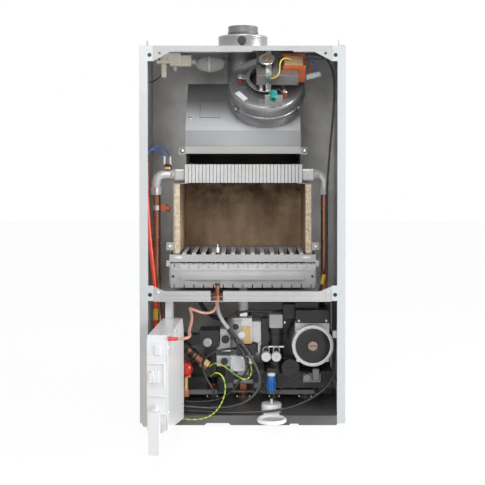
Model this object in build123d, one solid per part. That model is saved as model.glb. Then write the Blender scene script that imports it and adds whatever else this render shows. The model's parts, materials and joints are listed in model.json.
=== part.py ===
from build123d import *
import math
import os

os.makedirs("parts", exist_ok=True)

# A wall-hung boiler with its front cover off. Sizes are millimetres.
# The wall is Y = 0, the front faces -Y, and Z = 0 is the bottom edge of the casing.
# Each inner piece is placed back from the works' datum plane, WORKS_D in front of the wall.

# Casing
CASE_W = 400.0
CASE_H = 734.0
CASE_D = 299.0
SHEET = 1.2
GAP = 0.3
FLANGE_W = 16.0
LIP_D = 9.0
TAB_W = 11.0
TAB_H = 30.0
RAIL_Z = 237.5
RAIL_H = 19.9
RAIL_LIP = 11.0
TOP_RAIL_H = 11.7
FIX_HOLE_R = 4.0
GUSSET_HOLE_R = 2.5
BACK_T = 1.5
BACK_DROP = 10.0
HANG_R = 5.0
HANG_PITCH = 240.0
HANG_Z = 690.0
WORKS_D = 299.0

# Sealed chamber
LINER_Y = -63.2
LINER_FLOOR_Z = 238.8
VESSEL_W = 260.0
VESSEL_H = 400.0
VESSEL_T = 56.0
VESSEL_Z = 300.0
VESSEL_R = 45.0

# Flue
FLUE_X = 0.0
FLUE_D = 150.0
COLLAR_R = 51.2
COLLAR_TOP = 770.0
COLLAR_SOCKET = 759.0
COLLAR_STEP = 0.2
SPIGOT_R = 30.0
SPIGOT_WALL = 1.0
SPIGOT_TOP = 791.0
SPIGOT_LOW = 705.0
DUCT_LOW = 672.4
DUCT_TOP = 722.0
RIB_COUNT = 3
RUNNING = 0.1
EQUAL_8 = 1.05
EQUAL_3 = 1.555
BEND_CHORDS = 3
DRUM_SIDES = 32
DUCT_SIDES = 20
TURNED_SIDES = 16

# Flue hood over the heat exchanger
HOOD_LEFT = -115.0
HOOD_RIGHT = 116.0
HOOD_SHEET = 1.2
HOOD_FRONT_D = 58.0
HOOD_FOLD_Z = 571.0
HOOD_CREST_D = 150.0
HOOD_CREST_Z = 672.0
HOOD_BACK_D = 232.0
HOOD_LOW_Z = 526.0
HOOD_LIP_D = 3.0
HOOD_LIP_H = 11.0
STRAP_LOW_Z = 468.0
STRAP_W = 22.0

# Fan, square on the hood's sloping panel
FAN_X = 47.4
FAN_UP_SLOPE = 83.1
FAN_R = 77.0
FAN_H = 56.0
FAN_WALL = 1.2
FAN_MOUTH_R = 34.0
FAN_FACE_R = 36.0
IMPELLER_R = 60.0
IMPELLER_H = 34.0
IMPELLER_VANES = 12
IMPELLER_DROP = 10.0
SHAFT_R = 3.0
ROTOR_R = 13.0
CORE_LOW = 25.0
CORE_HIGH = 50.0
CORE_X0 = -20.0
CORE_X1 = 62.0
CORE_Y = 36.0
CORE_LIMB = 17.0
BRIDGE_H = 59.0
STANDOFF_H = 10.0
STANDOFF_R = 5.0
MOUNT_PITCH_R = 52.0
MOUNT_ANGLES = (178.0, -48.0, 65.0)

# Heat exchanger
HX_LEFT = -113.5
HX_RIGHT = 116.5
HX_Z = 467.0
HX_H = 37.0
HX_D0 = 62.0
HX_D1 = 215.0
FIN_COUNT = 33
FIN_T = 1.2
HX_PLATE_T = 1.5
HEADER_R = 10.0
HEADER_D = 90.0
HEADER_Z = 483.0
FLOW_X = -175.0
RETURN_X = 166.0

# Combustion chamber and burner
CHAMBER_X = 139.0
CHAMBER_D0 = 58.0
CHAMBER_D1 = 234.0
CHAMBER_Z0 = 324.3
BOARD_T = 11.0
BLADE_COUNT = 13
BLADE_PITCH = 19.7
BLADE_W = 8.0
BLADE_TOP = 326.0
BLADE_RAIL_H = 15.0
MANIFOLD_Z0 = 265.0
MANIFOLD_D1 = 92.0
MANIFOLD_X = 146.0
NOZZLE_MARKS = 15
NOZZLE_PITCH = 19.6
ELECTRODE_X = -50.5
GLAND_LOW = 230.05

# Bottom tray and pipe tails
TRAY_Z = -5.5
TRAY_D0 = 74.0
TRAY_D1 = 252.0
TAIL_Y = -67.0
TAIL_PITCH = 68.0
TAIL_LOW = -28.0
TAIL_TOP = 24.0
TAIL_RADII = (13.2, 10.5, 13.2, 10.5, 13.2)
SHELF_Z = 8.0
SHELF_T = 2.0
TAIL_HOLE = 0.9
SHELF_IN = 37.0
SHELF_OUT = 172.0
SHELF_DEPTH = 107.0

# Hydraulics
PIPE_R = 7.5
GAS_R = 10.0
GAS_X = 1.0
GAS_D = 112.0
GAS_VALVE_TOP = 191.0
TAIL_CLEAR = 54.0
PUMP_X = 142.0
PUMP_Z = 136.0
PUMP_R = 41.0
PUMP_D0 = 76.0
PUMP_LABEL_R = 35.6
ROTOR_SHAFT_R = 4.0
TERMINAL_Z = 181.0
VENT_PLUG_R = 9.7
VOLUTE_R = 47.0
VOLUTE_D0 = 150.0
VOLUTE_D1 = 205.0
RETURN_BACK_D = 176.0
RETURN_BOSS_Z = 184.0
RETURN_TOP = 75.0
FLOW_ARM_D = 125.0
FLOW_ARM_Z1 = 152.0
PLATE_D0 = 246.0
TAP_X = 58.4
TAP_D = 94.0
TAP_R = 8.75
CLAMP_X = -150.0

# Control box, modelled shut and then swung open about its hinge
HINGE_X = -146.0
HINGE_D = 45.0
HINGE_PIN_R = 3.0
HINGE_TOP = 236.7
BOX_LEFT = -9.0
BOX_RIGHT = 200.6
BOX_B0 = -10.5
BOX_B1 = 27.5
BOX_TOP = 200.0
BOX_LOW_LEFT = -5.0
BOX_LOW_RIGHT = 31.0
BOX_WALL = 2.2
FASCIA_T = 11.0
FASCIA_Z0 = 35.0
FASCIA_Z1 = 163.0
OPEN_ANGLE = 93.7
BUTTON_COUNT = 3
BUTTON_PITCH = 24.0
BUTTON_W = 13.0
BUTTON_H = 9.0
BUTTON_GAP = 0.25
BUTTON_TRAVEL = 1.5
BUTTON_Z = 70.0
FASCIA_MIDDLE = 95.0
BOOT_A = 195.0
BOOT_Z = 194.5
BOOT_R = 3.6
BOOT_LENGTH = 17.0

HALF_W = CASE_W / 2
INNER = HALF_W - SHEET - GAP
FRONT = -CASE_D
TAB_X = HALF_W - FLANGE_W - TAB_W
ROOF_Z = CASE_H - SHEET
HOT_TOP = Vector(-125, FLOW_ARM_D - 13 - WORKS_D, 131)
HOT_RUN = (Vector(-76, HOT_TOP.Y, 90.5) - HOT_TOP).normalized()


def deep(d):
    """Y of a plane d millimetres behind the works' datum."""
    return d - WORKS_D


def block(x0, x1, y0, y1, z0, z1):
    """A box from its two corners."""
    middle = Pos((x0 + x1) / 2, (y0 + y1) / 2, (z0 + z1) / 2)
    return middle * Box(abs(x1 - x0), abs(y1 - y0), abs(z1 - z0))


def slab(corners, plane, thickness):
    """A flat outline in a plane, thickened along the plane's normal."""
    outline = plane * make_face(Polyline(*corners, close=True))
    return extrude(outline, amount=thickness, dir=plane.z_dir)


def across(corners, x0, x1):
    """An outline of (Y, Z) corners run from x0 to x1."""
    plane = Plane(origin=(x0, 0, 0), x_dir=(0, 1, 0), z_dir=(1, 0, 0))
    return slab(corners, plane, x1 - x0)


def inward(corners, y0, y1):
    """An outline of (X, Z) corners run back from y0 to y1."""
    plane = Plane(origin=(0, y1, 0), x_dir=(1, 0, 0), z_dir=(0, -1, 0))
    return slab(corners, plane, y1 - y0)


def upward(corners, z0, z1):
    """An outline of (X, Y) corners run up from z0 to z1."""
    return slab(corners, Plane.XY.offset(z0), z1 - z0)


def rod(start, end, r):
    """A round bar between two points."""
    run = Vector(*end) - Vector(*start)
    plane = Plane(origin=start, z_dir=run)
    return extrude(plane * Circle(r), amount=run.length, dir=plane.z_dir)


def polygon_rod(start, end, r, sides=6):
    """A bar with flats between two points, r to its corners."""
    run = Vector(*end) - Vector(*start)
    plane = Plane(origin=start, z_dir=run)
    return extrude(plane * RegularPolygon(r, sides), amount=run.length, dir=plane.z_dir)


def pipe(points, r, bend):
    """A pipe with eight flats round it, each bend drawn as BEND_CHORDS short straight lengths."""
    spots = [Vector(*points[0])]
    for a, b, c in zip(points, points[1:], points[2:]):
        arc = FilletPolyline(a, b, c, radius=bend).edges().filter_by(GeomType.CIRCLE)[0]
        turn = [arc @ (step / BEND_CHORDS) for step in range(BEND_CHORDS + 1)]
        nearest_first = (turn[0] - spots[-1]).length < (turn[-1] - spots[-1]).length
        spots += turn if nearest_first else turn[::-1]
    path = Polyline(*spots, Vector(*points[-1]))
    section = Plane(origin=points[0], z_dir=path % 0) * RegularPolygon(r * EQUAL_8, 8)
    return sweep(section, path=path, transition=Transition.RIGHT)


def cord(points, r):
    """A cord's tube: straight runs joined by tangent arcs as large as the runs allow."""
    spots = [Vector(*point) for point in points]
    ahead = (spots[1] - spots[0]).normalized()
    section = Plane(origin=spots[0], z_dir=ahead) * RegularPolygon(r * EQUAL_3, 3)
    area, spot = section.area, spots[0]
    radii, lengths, pieces = [], [], []
    for before, corner, after in zip(spots, spots[1:], spots[2:]):
        leaving = (after - corner).normalized()
        turn = math.radians(ahead.get_angle(leaving))
        reach = 0.45 * min((corner - before).length, (after - corner).length)
        radius = reach / math.tan(turn / 2)
        run = corner - ahead * reach - spot
        pieces.append(extrude(section, amount=run.length, dir=ahead))
        section = section.moved(Location(run))
        normal = ahead.cross(leaving).normalized()
        start = corner - ahead * reach
        axis = Axis(start + normal.cross(ahead) * radius, normal)
        pieces.append(revolve(section, axis, revolution_arc=math.degrees(turn)))
        section = section.rotate(axis, math.degrees(turn))
        radii.append(radius)
        lengths += [run.length, radius * turn]
        spot, ahead = corner + leaving * reach, leaving
    lengths.append((spots[-1] - spot).length)
    pieces.append(extrude(section, amount=lengths[-1], dir=ahead))
    body = pieces[0].fuse(*pieces[1:]).solids()[0]
    share = body.volume / (area * sum(lengths))
    print("cord r", r, "length", round(sum(lengths), 1), "least radius", round(min(radii), 1),
          "radii", [round(v) for v in radii], "volume share", round(share, 3))
    return body


def both_sides(piece):
    """The piece and its mirror image over X = 0."""
    return piece, mirror(piece, about=Plane.YZ)


# Casing


def side_panel():
    """The right side panel: wall, front flange with its return and two fixing tabs."""
    panel = block(HALF_W - SHEET, HALF_W, FRONT, 0, 0, CASE_H)
    panel += block(HALF_W - FLANGE_W, HALF_W, FRONT, FRONT + SHEET, 0, CASE_H)
    inner_x = HALF_W - FLANGE_W
    panel += block(inner_x, inner_x + SHEET, FRONT, FRONT + LIP_D, TAB_H, RAIL_Z - GAP)
    panel += block(inner_x, inner_x + SHEET, FRONT, FRONT + LIP_D,
                   RAIL_Z + TAB_H + GAP, CASE_H - TAB_H - GAP)
    hole_x = inner_x - TAB_W / 2 + 1.5
    for low in (CASE_H - TAB_H, RAIL_Z + 1.5):
        panel += block(TAB_X, inner_x + SHEET, FRONT, FRONT + SHEET, low, low + TAB_H)
        middle = low + TAB_H * 0.4
        panel -= polygon_rod((hole_x, FRONT - 1, middle), (hole_x, FRONT + LIP_D, middle),
                             FIX_HOLE_R, 8)
    return panel


def back_plate():
    """The plate against the wall, with the two holes that hang the boiler."""
    plate = block(-INNER, INNER, -BACK_T, 0, -BACK_DROP, ROOF_Z - GAP)
    for x in (-HANG_PITCH / 2, HANG_PITCH / 2):
        plate -= rod((x, -BACK_T - 1, HANG_Z), (x, 1, HANG_Z), HANG_R)
    return plate


def top_panel():
    """The roof with its front rail, corner gussets, flue hole and two cover pins."""
    edge = FRONT + SHEET + GAP
    rail_x = TAB_X - GAP
    rail_low = CASE_H - TOP_RAIL_H
    roof = upward([(-INNER, -GAP), (-INNER, edge), (-rail_x, edge), (-rail_x, FRONT),
                   (rail_x, FRONT), (rail_x, edge), (INNER, edge), (INNER, -GAP)],
                  ROOF_Z, CASE_H)
    roof += inward([(-rail_x, CASE_H), (-rail_x, rail_low - 17.8), (-139, rail_low), (18, rail_low),
                    (20, rail_low + 2), (97, rail_low + 2), (99, rail_low), (139, rail_low),
                    (rail_x, rail_low - 17.8), (rail_x, CASE_H)], FRONT, FRONT + SHEET)
    roof += block(-rail_x, 18, FRONT, FRONT + RAIL_LIP, rail_low, rail_low + SHEET)
    roof += block(99, rail_x, FRONT, FRONT + RAIL_LIP, rail_low, rail_low + SHEET)
    hole_x = rail_x - 12
    for x in (-hole_x, hole_x):
        roof -= polygon_rod((x, FRONT - 1, rail_low - 3), (x, FRONT + 3, rail_low - 3),
                            GUSSET_HOLE_R, 8)
    roof -= polygon_rod((FLUE_X, deep(FLUE_D), ROOF_Z - 1), (FLUE_X, deep(FLUE_D), CASE_H + 1),
                        COLLAR_R - SHEET, 32)
    pin_y = edge + 5
    roof += block(-INNER + 12, -INNER + 15, pin_y, pin_y + 3, CASE_H - SHEET, CASE_H + 10)
    roof += block(INNER - 13, INNER - 0.5, pin_y, pin_y + 2, CASE_H - SHEET, CASE_H + 2)
    roof += block(INNER - 13, INNER - 11, pin_y, pin_y + 2, CASE_H - SHEET, CASE_H + 12)
    return roof


def cross_rail():
    """The rail between the two compartments, cut for the electrode gland."""
    x = TAB_X - GAP
    top = RAIL_Z + RAIL_H
    back = FRONT + RAIL_LIP
    rail = block(-x, x, FRONT, FRONT + SHEET, RAIL_Z, top)
    rail += block(-x, x, FRONT, back, RAIL_Z, RAIL_Z + SHEET)
    rail += block(-x, x, FRONT, back, top - SHEET, top)
    rail += inward([(-x, top - 2), (-x, top + 10), (-x + 27, top - 2)], FRONT, FRONT + SHEET)
    rail += inward([(x, top - 2), (x, top + 10), (x - 27, top - 2)], FRONT, FRONT + SHEET)
    rail -= block(-62.5, -38, FRONT - 1, back + 1, RAIL_Z + SHEET, top + 1)
    return rail


def chamber_liner():
    """Back sheet and floor of the sealed chamber, with holes for what passes down."""
    edge = FRONT + RAIL_LIP + GAP
    liner = block(-INNER, INNER, LINER_Y, LINER_Y + SHEET, LINER_FLOOR_Z + SHEET, ROOF_Z - GAP)
    floor = block(-INNER, INNER, edge, LINER_Y + SHEET, LINER_FLOOR_Z, LINER_FLOOR_Z + SHEET)
    floor -= block(-188, -156, edge - 1, deep(118), LINER_FLOOR_Z - 1, LINER_FLOOR_Z + 2)
    floor -= block(143, 182, edge - 1, deep(118), LINER_FLOOR_Z - 1, LINER_FLOOR_Z + 2)
    floor -= block(-62.5, -38, edge - 1, deep(60), LINER_FLOOR_Z - 1, LINER_FLOOR_Z + 2)
    gas_y = deep(GAS_D)
    floor -= polygon_rod((GAS_X, gas_y, LINER_FLOOR_Z - 1), (GAS_X, gas_y, LINER_FLOOR_Z + 2),
                         GAS_R + 2, 12)
    return liner + floor


def expansion_vessel():
    """The flat vessel behind the liner, standing just off the back plate."""
    front = -BACK_T - GAP - VESSEL_T
    body = block(-VESSEL_W / 2, VESSEL_W / 2, front, -BACK_T - GAP, VESSEL_Z, VESSEL_Z + VESSEL_H)
    body = chamfer(body.edges().filter_by(Axis.Y), VESSEL_R)
    return chamfer(body.faces().sort_by(Axis.Y)[0].edges(), 8)


# Flue


def flue_collar():
    """The outer collar that the concentric flue fits over."""
    y = deep(FLUE_D)
    foot = CASE_H + RUNNING
    base = RegularPolygon(COLLAR_R - COLLAR_STEP, DRUM_SIDES)
    inside = RegularPolygon(COLLAR_R - SHEET, DRUM_SIDES, major_radius=False)
    collar = extrude(Pos(FLUE_X, y, foot) * base, amount=COLLAR_SOCKET - foot)
    collar += rod((FLUE_X, y, COLLAR_SOCKET), (FLUE_X, y, COLLAR_TOP), COLLAR_R)
    collar -= extrude(Pos(FLUE_X, y, foot - 1) * inside, amount=COLLAR_TOP - foot + 2)
    plug = polygon_rod((-7, y - COLLAR_R - 5, 752), (-7, y - COLLAR_R + 0.5, 752), 6.0, 8)
    plug += polygon_rod((-7, y - COLLAR_R - 9, 752), (-7, y - COLLAR_R - 5, 752), 7.5, 8)
    return collar + plug


def flue_spigot():
    """The exhaust spigot inside the collar, held off it by ribs."""
    y = deep(FLUE_D)
    outer = SPIGOT_R + SPIGOT_WALL
    outside = RegularPolygon(outer, DUCT_SIDES, major_radius=False)
    spigot = extrude(Pos(FLUE_X, y, SPIGOT_LOW) * outside, amount=SPIGOT_TOP - SPIGOT_LOW)
    spigot -= rod((FLUE_X, y, SPIGOT_LOW - 1), (FLUE_X, y, SPIGOT_TOP + 1), SPIGOT_R)
    reach = COLLAR_R - SHEET - RUNNING
    for turn in range(RIB_COUNT):
        rib = block(outer - 0.3, reach, -0.8, 0.8, 745, 755)
        spigot += Pos(FLUE_X, y, 0) * Rot(0, 0, 90 + turn * 360 / RIB_COUNT) * rib
    return spigot


# Hood and fan. A point in the fan's own frame is (across, up the slope, out of the hood).

SLOPE = math.atan2(HOOD_CREST_Z - HOOD_FOLD_Z, HOOD_CREST_D - HOOD_FRONT_D - 2)
SLOPE_DIR = (0, math.cos(SLOPE), math.sin(SLOPE))
SLOPE_OUT = (0, -math.sin(SLOPE), math.cos(SLOPE))
FAN_FOOT = Vector(FAN_X, deep(HOOD_FRONT_D + 2), HOOD_FOLD_Z) + Vector(*SLOPE_DIR) * FAN_UP_SLOPE
HOOD_FACE = Plane(origin=FAN_FOOT, x_dir=(1, 0, 0), z_dir=SLOPE_OUT)
FAN_BASE = HOOD_FACE.offset(GAP)
FAN_FACE = HOOD_FACE.offset(GAP + FAN_H)


def on_fan(piece):
    """A piece drawn in the frame of the fan's face, put in its place."""
    return FAN_FACE.location * piece


def flue_hood():
    """The galvanised hood: two bent panels, flat top, sides and the straps that carry it."""
    lip = HOOD_FRONT_D - HOOD_LIP_D
    outer = [(lip, HOOD_LOW_Z), (lip, HOOD_LOW_Z + HOOD_LIP_H), (HOOD_FRONT_D, HOOD_LOW_Z + 14),
             (HOOD_FRONT_D + 2, HOOD_FOLD_Z), (HOOD_CREST_D, HOOD_CREST_Z),
             (HOOD_BACK_D, HOOD_CREST_Z), (HOOD_BACK_D, HOOD_LOW_Z)]
    t = HOOD_SHEET
    inner = [(lip + t, HOOD_LOW_Z - 1), (lip + t, HOOD_LOW_Z + HOOD_LIP_H),
             (HOOD_FRONT_D + t, HOOD_LOW_Z + 14), (HOOD_FRONT_D + 2 + t, HOOD_FOLD_Z - t / 2),
             (HOOD_CREST_D + t / 2, HOOD_CREST_Z - t), (HOOD_BACK_D - t, HOOD_CREST_Z - t),
             (HOOD_BACK_D - t, HOOD_LOW_Z - 1)]
    hood = across([(deep(d), z) for d, z in outer], HOOD_LEFT, HOOD_RIGHT)
    hood -= across([(deep(d), z) for d, z in inner], HOOD_LEFT + t, HOOD_RIGHT - t)
    mouth = RegularPolygon(FAN_MOUTH_R, 16)
    hood -= extrude(HOOD_FACE.offset(-4) * mouth, amount=8, dir=HOOD_FACE.z_dir)
    for x0, x1 in ((HOOD_LEFT, HOOD_LEFT + t), (HOOD_RIGHT - t, HOOD_RIGHT)):
        for d in (HX_D0 + 8, HX_D1 - STRAP_W - 8):
            hood += block(x0, x1, deep(d), deep(d + STRAP_W), HX_Z + HX_H + GAP, HOOD_LOW_Z + 4)
    for x0, x1 in ((HOOD_LEFT - 13, HOOD_LEFT + t), (HOOD_RIGHT - t, HOOD_RIGHT + 13)):
        hood += block(x0, x1, deep(lip), deep(lip) + t, HOOD_LOW_Z - 2, HOOD_LOW_Z + 12)
    return hood


def fan_housing():
    """The drum of the fan with its inlet, its outlet duct and the motor's rubber mounts."""
    drum = extrude(FAN_BASE * RegularPolygon(FAN_R, DRUM_SIDES), amount=FAN_H,
                   dir=FAN_BASE.z_dir)
    duct_r = SPIGOT_R + SPIGOT_WALL + RUNNING
    outlet = Pos(FLUE_X, deep(FLUE_D), DUCT_LOW)
    outside = RegularPolygon(duct_r + FAN_WALL, DUCT_SIDES, major_radius=False)
    inside = RegularPolygon(duct_r, DUCT_SIDES, major_radius=False)
    drum += extrude(outlet * outside, amount=DUCT_TOP - DUCT_LOW)
    hollow = FAN_BASE.offset(FAN_WALL)
    drum -= extrude(hollow * RegularPolygon(FAN_R - FAN_WALL, DRUM_SIDES),
                    amount=FAN_H - 2 * FAN_WALL, dir=hollow.z_dir)
    drum -= extrude(outlet * Pos(0, 0, FAN_WALL) * inside, amount=DUCT_TOP - DUCT_LOW)
    mouth, opening = RegularPolygon(FAN_MOUTH_R, 16), RegularPolygon(FAN_FACE_R, 16)
    drum -= extrude(FAN_BASE.offset(-1) * mouth, amount=4, dir=FAN_BASE.z_dir)
    drum -= extrude(FAN_FACE.offset(-4) * opening, amount=6, dir=FAN_FACE.z_dir)
    for angle in MOUNT_ANGLES:
        post = Rot(0, 0, angle) * Pos(MOUNT_PITCH_R, 0, STANDOFF_H / 2 - FAN_WALL / 2)
        drum += on_fan(post * extrude(RegularPolygon(STANDOFF_R, 8),
                                      amount=STANDOFF_H / 2 - FAN_WALL / 2, both=True))
    return drum


def fan_motor_core():
    """The motor's C-shaped stack of laminations, open where the winding goes."""
    w = CORE_LIMB
    core = block(CORE_X0, CORE_X1, -CORE_Y, CORE_Y, CORE_LOW, CORE_HIGH)
    core -= block(ROTOR_R + 9, CORE_X1 - w, -CORE_Y + w, CORE_Y - w, CORE_LOW - 1, CORE_HIGH + 1)
    core -= block(CORE_X0 - 1, -ROTOR_R + 4, -4, 4, CORE_LOW - 1, CORE_HIGH + 1)
    bore = RegularPolygon(ROTOR_R + 0.6, 12, major_radius=False)
    core -= extrude(Plane.XY.offset(CORE_LOW - 1) * bore, amount=CORE_HIGH - CORE_LOW + 2)
    return on_fan(core)


def fan_motor_coil():
    """The winding's bobbin round the core's far limb."""
    gap = GAP
    limb0, limb1 = CORE_X1 - CORE_LIMB, CORE_X1
    reach = CORE_Y - CORE_LIMB - gap
    coil = block(limb0 - 11, limb1 + 9, -reach + 3, reach - 3, CORE_LOW - 7, CORE_HIGH + 7)
    for y0 in (-reach, reach - 3):
        coil += block(limb0 - 14, limb1 + 14, y0, y0 + 3, CORE_LOW - 9, CORE_HIGH + 9)
    coil -= block(limb0 - gap, limb1 + gap, -reach - 1, reach + 1, CORE_LOW - gap, CORE_HIGH + gap)
    return on_fan(coil)


def fan_motor_frame():
    """Spider on the rubber mounts, core straps and the bearing bridge over the rotor."""
    z = STANDOFF_H + GAP
    ring = RegularPolygon(41.5, 20) - RegularPolygon(34, 20)
    frame = extrude(Plane.XY.offset(z) * ring, amount=2)
    for angle in MOUNT_ANGLES:
        arm = block(37, MOUNT_PITCH_R + 4, -5, 5, z, z + 2)
        frame += Rot(0, 0, angle) * arm
    for y0 in (-CORE_Y, CORE_Y - 6):
        frame += block(-14, -8, y0, y0 + 6, z, CORE_LOW - GAP)
    frame += block(-2, 9, -CORE_Y - GAP - 2, CORE_Y - 8, BRIDGE_H, BRIDGE_H + 2)
    frame += block(-2, 9, -CORE_Y - GAP - 2, -CORE_Y - GAP, z, BRIDGE_H + 2)
    frame += block(-5, 5, CORE_Y - 10, CORE_Y - 8, CORE_HIGH + GAP, BRIDGE_H + 2)
    frame += extrude(Plane.XY.offset(BRIDGE_H - 4) * RegularPolygon(9, 8), amount=5)
    frame += block(-4, 31, -67, -65, GAP, 27)
    frame += block(-4, 31, -67, -52, GAP, GAP + 2)
    frame += extrude(Plane(origin=(12, -53, 20), z_dir=(0, -1, 0)) * RegularPolygon(8, 8), amount=16)
    frame -= extrude(Plane.XY.offset(z - 1) * Circle(SHAFT_R + RUNNING), amount=BRIDGE_H)
    return on_fan(frame)


def fan_impeller():
    """The rotor: vaned wheel, shaft and the motor's armature on one axis."""
    top = -FAN_WALL - IMPELLER_DROP
    wheel = extrude(Plane.XY.offset(top) * RegularPolygon(IMPELLER_R, 20), amount=1.5)
    for turn in range(IMPELLER_VANES):
        vane = block(40, IMPELLER_R - 3, -0.8, 0.8, top - IMPELLER_H, top)
        wheel += Rot(0, 0, turn * 360 / IMPELLER_VANES) * vane
    ring = RegularPolygon(IMPELLER_R, 20) - RegularPolygon(IMPELLER_R - 6, 20)
    wheel += extrude(Plane.XY.offset(top - IMPELLER_H - 1.5) * ring, amount=1.5)
    wheel += extrude(Plane.XY.offset(top) * Circle(SHAFT_R), amount=BRIDGE_H - top + 1)
    armature = RegularPolygon(ROTOR_R, 12)
    wheel += extrude(Plane.XY.offset(CORE_LOW + 1) * armature, amount=CORE_HIGH - CORE_LOW - 2)
    return on_fan(wheel)


def air_pressure_switch():
    """The air-pressure switch under the roof, with its dome and its terminal."""
    y = deep(120)
    roof = ROOF_Z - GAP
    body = block(-178, -128, y - 16, y + 16, 711, roof)
    body += block(-150, -106, y - 12, y + 12, 706, 728)
    body += block(-168, -158, y - 5, y + 5, 683, 711)
    body += polygon_rod((-106.5, y, 716), (-98, y, 716), 6, 8)
    dome = [(-99, 711), (-92, 701), (-76, 694), (-58, 694), (-42, 701), (-36, 711), (-42, 720),
            (-58, 726), (-76, 726), (-92, 720)]
    body += inward(dome, y - 14, y + 14)
    return body


# Heat exchanger, chamber and burner


def heat_exchanger_core():
    """The pack of fins on its rear spine, between two side plates."""
    y0, y1 = deep(HX_D0), deep(HX_D1)
    pitch = (HX_RIGHT - HX_LEFT - FIN_T) / (FIN_COUNT - 1)
    outline = [(HX_LEFT - HX_PLATE_T, y1)]
    for fin in range(FIN_COUNT):
        x = HX_LEFT + fin * pitch
        side = -HX_PLATE_T if fin == 0 else 0
        outline += [(x, y1 - 2)] if fin else []
        outline += [(x + side, y0), (x + FIN_T, y0)]
        outline += [(x + FIN_T, y1 - 2)] if fin < FIN_COUNT - 1 else []
    outline += [(HX_RIGHT, y1)]
    return upward(outline, HX_Z, HX_Z + HX_H)


def heat_exchanger_pipework():
    """Headers and elbows on both ends of the fin pack, with the flow union."""
    y = deep(HEADER_D)
    left = HX_LEFT - HX_PLATE_T - GAP
    right = HX_RIGHT + GAP
    union = 458.0
    work = pipe([(left - 22, y, HEADER_Z), (FLOW_X, y, HEADER_Z), (FLOW_X, y, union)],
                HEADER_R, HEADER_R * 1.6)
    work += block(left - 24, left, y - 14, y + 14, HEADER_Z - 13, HEADER_Z + 13)
    work += polygon_rod((FLOW_X, y, union - 16), (FLOW_X, y, union), HEADER_R + 2, 8)
    work += pipe([(right + 27, y, HEADER_Z), (RETURN_X, y, HEADER_Z), (RETURN_X, y, union - 16)],
                 HEADER_R - 1.5, HEADER_R * 1.6)
    work += block(right, right + 29, y - 14, y + 14, HEADER_Z - 13, HEADER_Z + 13)
    return work


def flow_pipe():
    """The copper flow pipe down the left side, to the flow block."""
    y0, y1 = deep(HEADER_D), deep(FLOW_ARM_D)
    points = [(FLOW_X, y0, 442 - GAP), (FLOW_X, y0, 250), (FLOW_X, y1, 195),
              (FLOW_X, y1, FLOW_ARM_Z1 + GAP)]
    return pipe(points, PIPE_R, 22)


def return_pipe():
    """The copper return pipe down the right side, back over the pump to its volute."""
    y0, y1 = deep(HEADER_D), deep(RETURN_BACK_D)
    points = [(RETURN_X, y0, 442 - GAP), (RETURN_X, y0, 228), (RETURN_X, y1, 220),
              (RETURN_X, y1, RETURN_BOSS_Z + GAP)]
    return pipe(points, PIPE_R, 20)


def heat_sensors():
    """Safety thermostat on the left elbow and clip-on sensor on the flow pipe."""
    y = deep(HEADER_D)
    top = HEADER_Z + HEADER_R * EQUAL_8 + GAP
    body = polygon_rod((-153, y, top), (-153, y, top + 6), 9.5, 12)
    body += polygon_rod((-153, y, top + 6), (-153, y, top + 11), 7, 8)
    for x in (-161, -149):
        body += block(x, x + 3.5, y - 1, y + 1, top + 8, top + 26)
    face = FLOW_X + PIPE_R * EQUAL_8 + GAP
    body += block(face, face + 9, y - 7, y + 7, 408, 424)
    body += polygon_rod((face + 8, y, 416), (face + 19, y, 412), 6, 6)
    return body


def combustion_chamber():
    """The open-fronted steel shell round the fire, with ledges, tabs and hanging lugs."""
    x = CHAMBER_X
    y0, y1 = deep(CHAMBER_D0), deep(CHAMBER_D1)
    top = HX_Z - GAP
    outer = block(-x, x, y0, y1, CHAMBER_Z0, top)
    t = SHEET
    shell = outer - block(-x + t, x - t, y0 - 1, y1 - t, CHAMBER_Z0 - 1, top + 1)
    for side in (-1, 1):
        shell += block(side * x, side * (x - t - BOARD_T), y0, y1, CHAMBER_Z0, CHAMBER_Z0 + t)
        shell += block(side * x, side * (HX_RIGHT - 6), y0 + 4, y1, top - t, top)
        shell += block(side * (x - 1), side * (x + 14), y0, y0 + t, CHAMBER_Z0 + 8, CHAMBER_Z0 + 24)
        shell += block(side * 60, side * 100, y1 - t, LINER_Y - GAP, 430, 446)
    shell += block(-x, x, y1 - t - BOARD_T, y1, CHAMBER_Z0, CHAMBER_Z0 + t)
    return shell


def insulation_boards():
    """The two side boards and the back board that line the chamber."""
    x1 = CHAMBER_X - SHEET - GAP
    x0 = x1 - BOARD_T
    back = deep(CHAMBER_D1) - SHEET - GAP
    low, high = CHAMBER_Z0 + SHEET + GAP, HX_Z - SHEET - 2 * GAP
    boards = block(-x0 + GAP, x0 - GAP, back - BOARD_T, back, low, high)
    for side in (-1, 1):
        boards += block(side * x0, side * x1, deep(CHAMBER_D0) + 1.5, back, low, high)
    return boards


def burner_blades():
    """The thirteen burner blades, each with the venturi that feeds it."""
    low = CHAMBER_Z0 - BLADE_RAIL_H
    blades = []
    for blade in range(BLADE_COUNT):
        x = (blade - (BLADE_COUNT - 1) / 2) * BLADE_PITCH
        half = BLADE_W / 2
        foot = deep(MANIFOLD_D1) + GAP
        side = [(deep(66), BLADE_TOP - 2), (deep(69), BLADE_TOP), (deep(211), BLADE_TOP),
                (deep(214), BLADE_TOP - 2), (deep(214), low + 3), (foot + 16, low + 3),
                (foot + 16, low - 14), (foot, low - 14), (foot, low + 3), (deep(66), low + 3)]
        blades.append(across(side, x - half, x + half))
    return Compound(children=blades)


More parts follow.
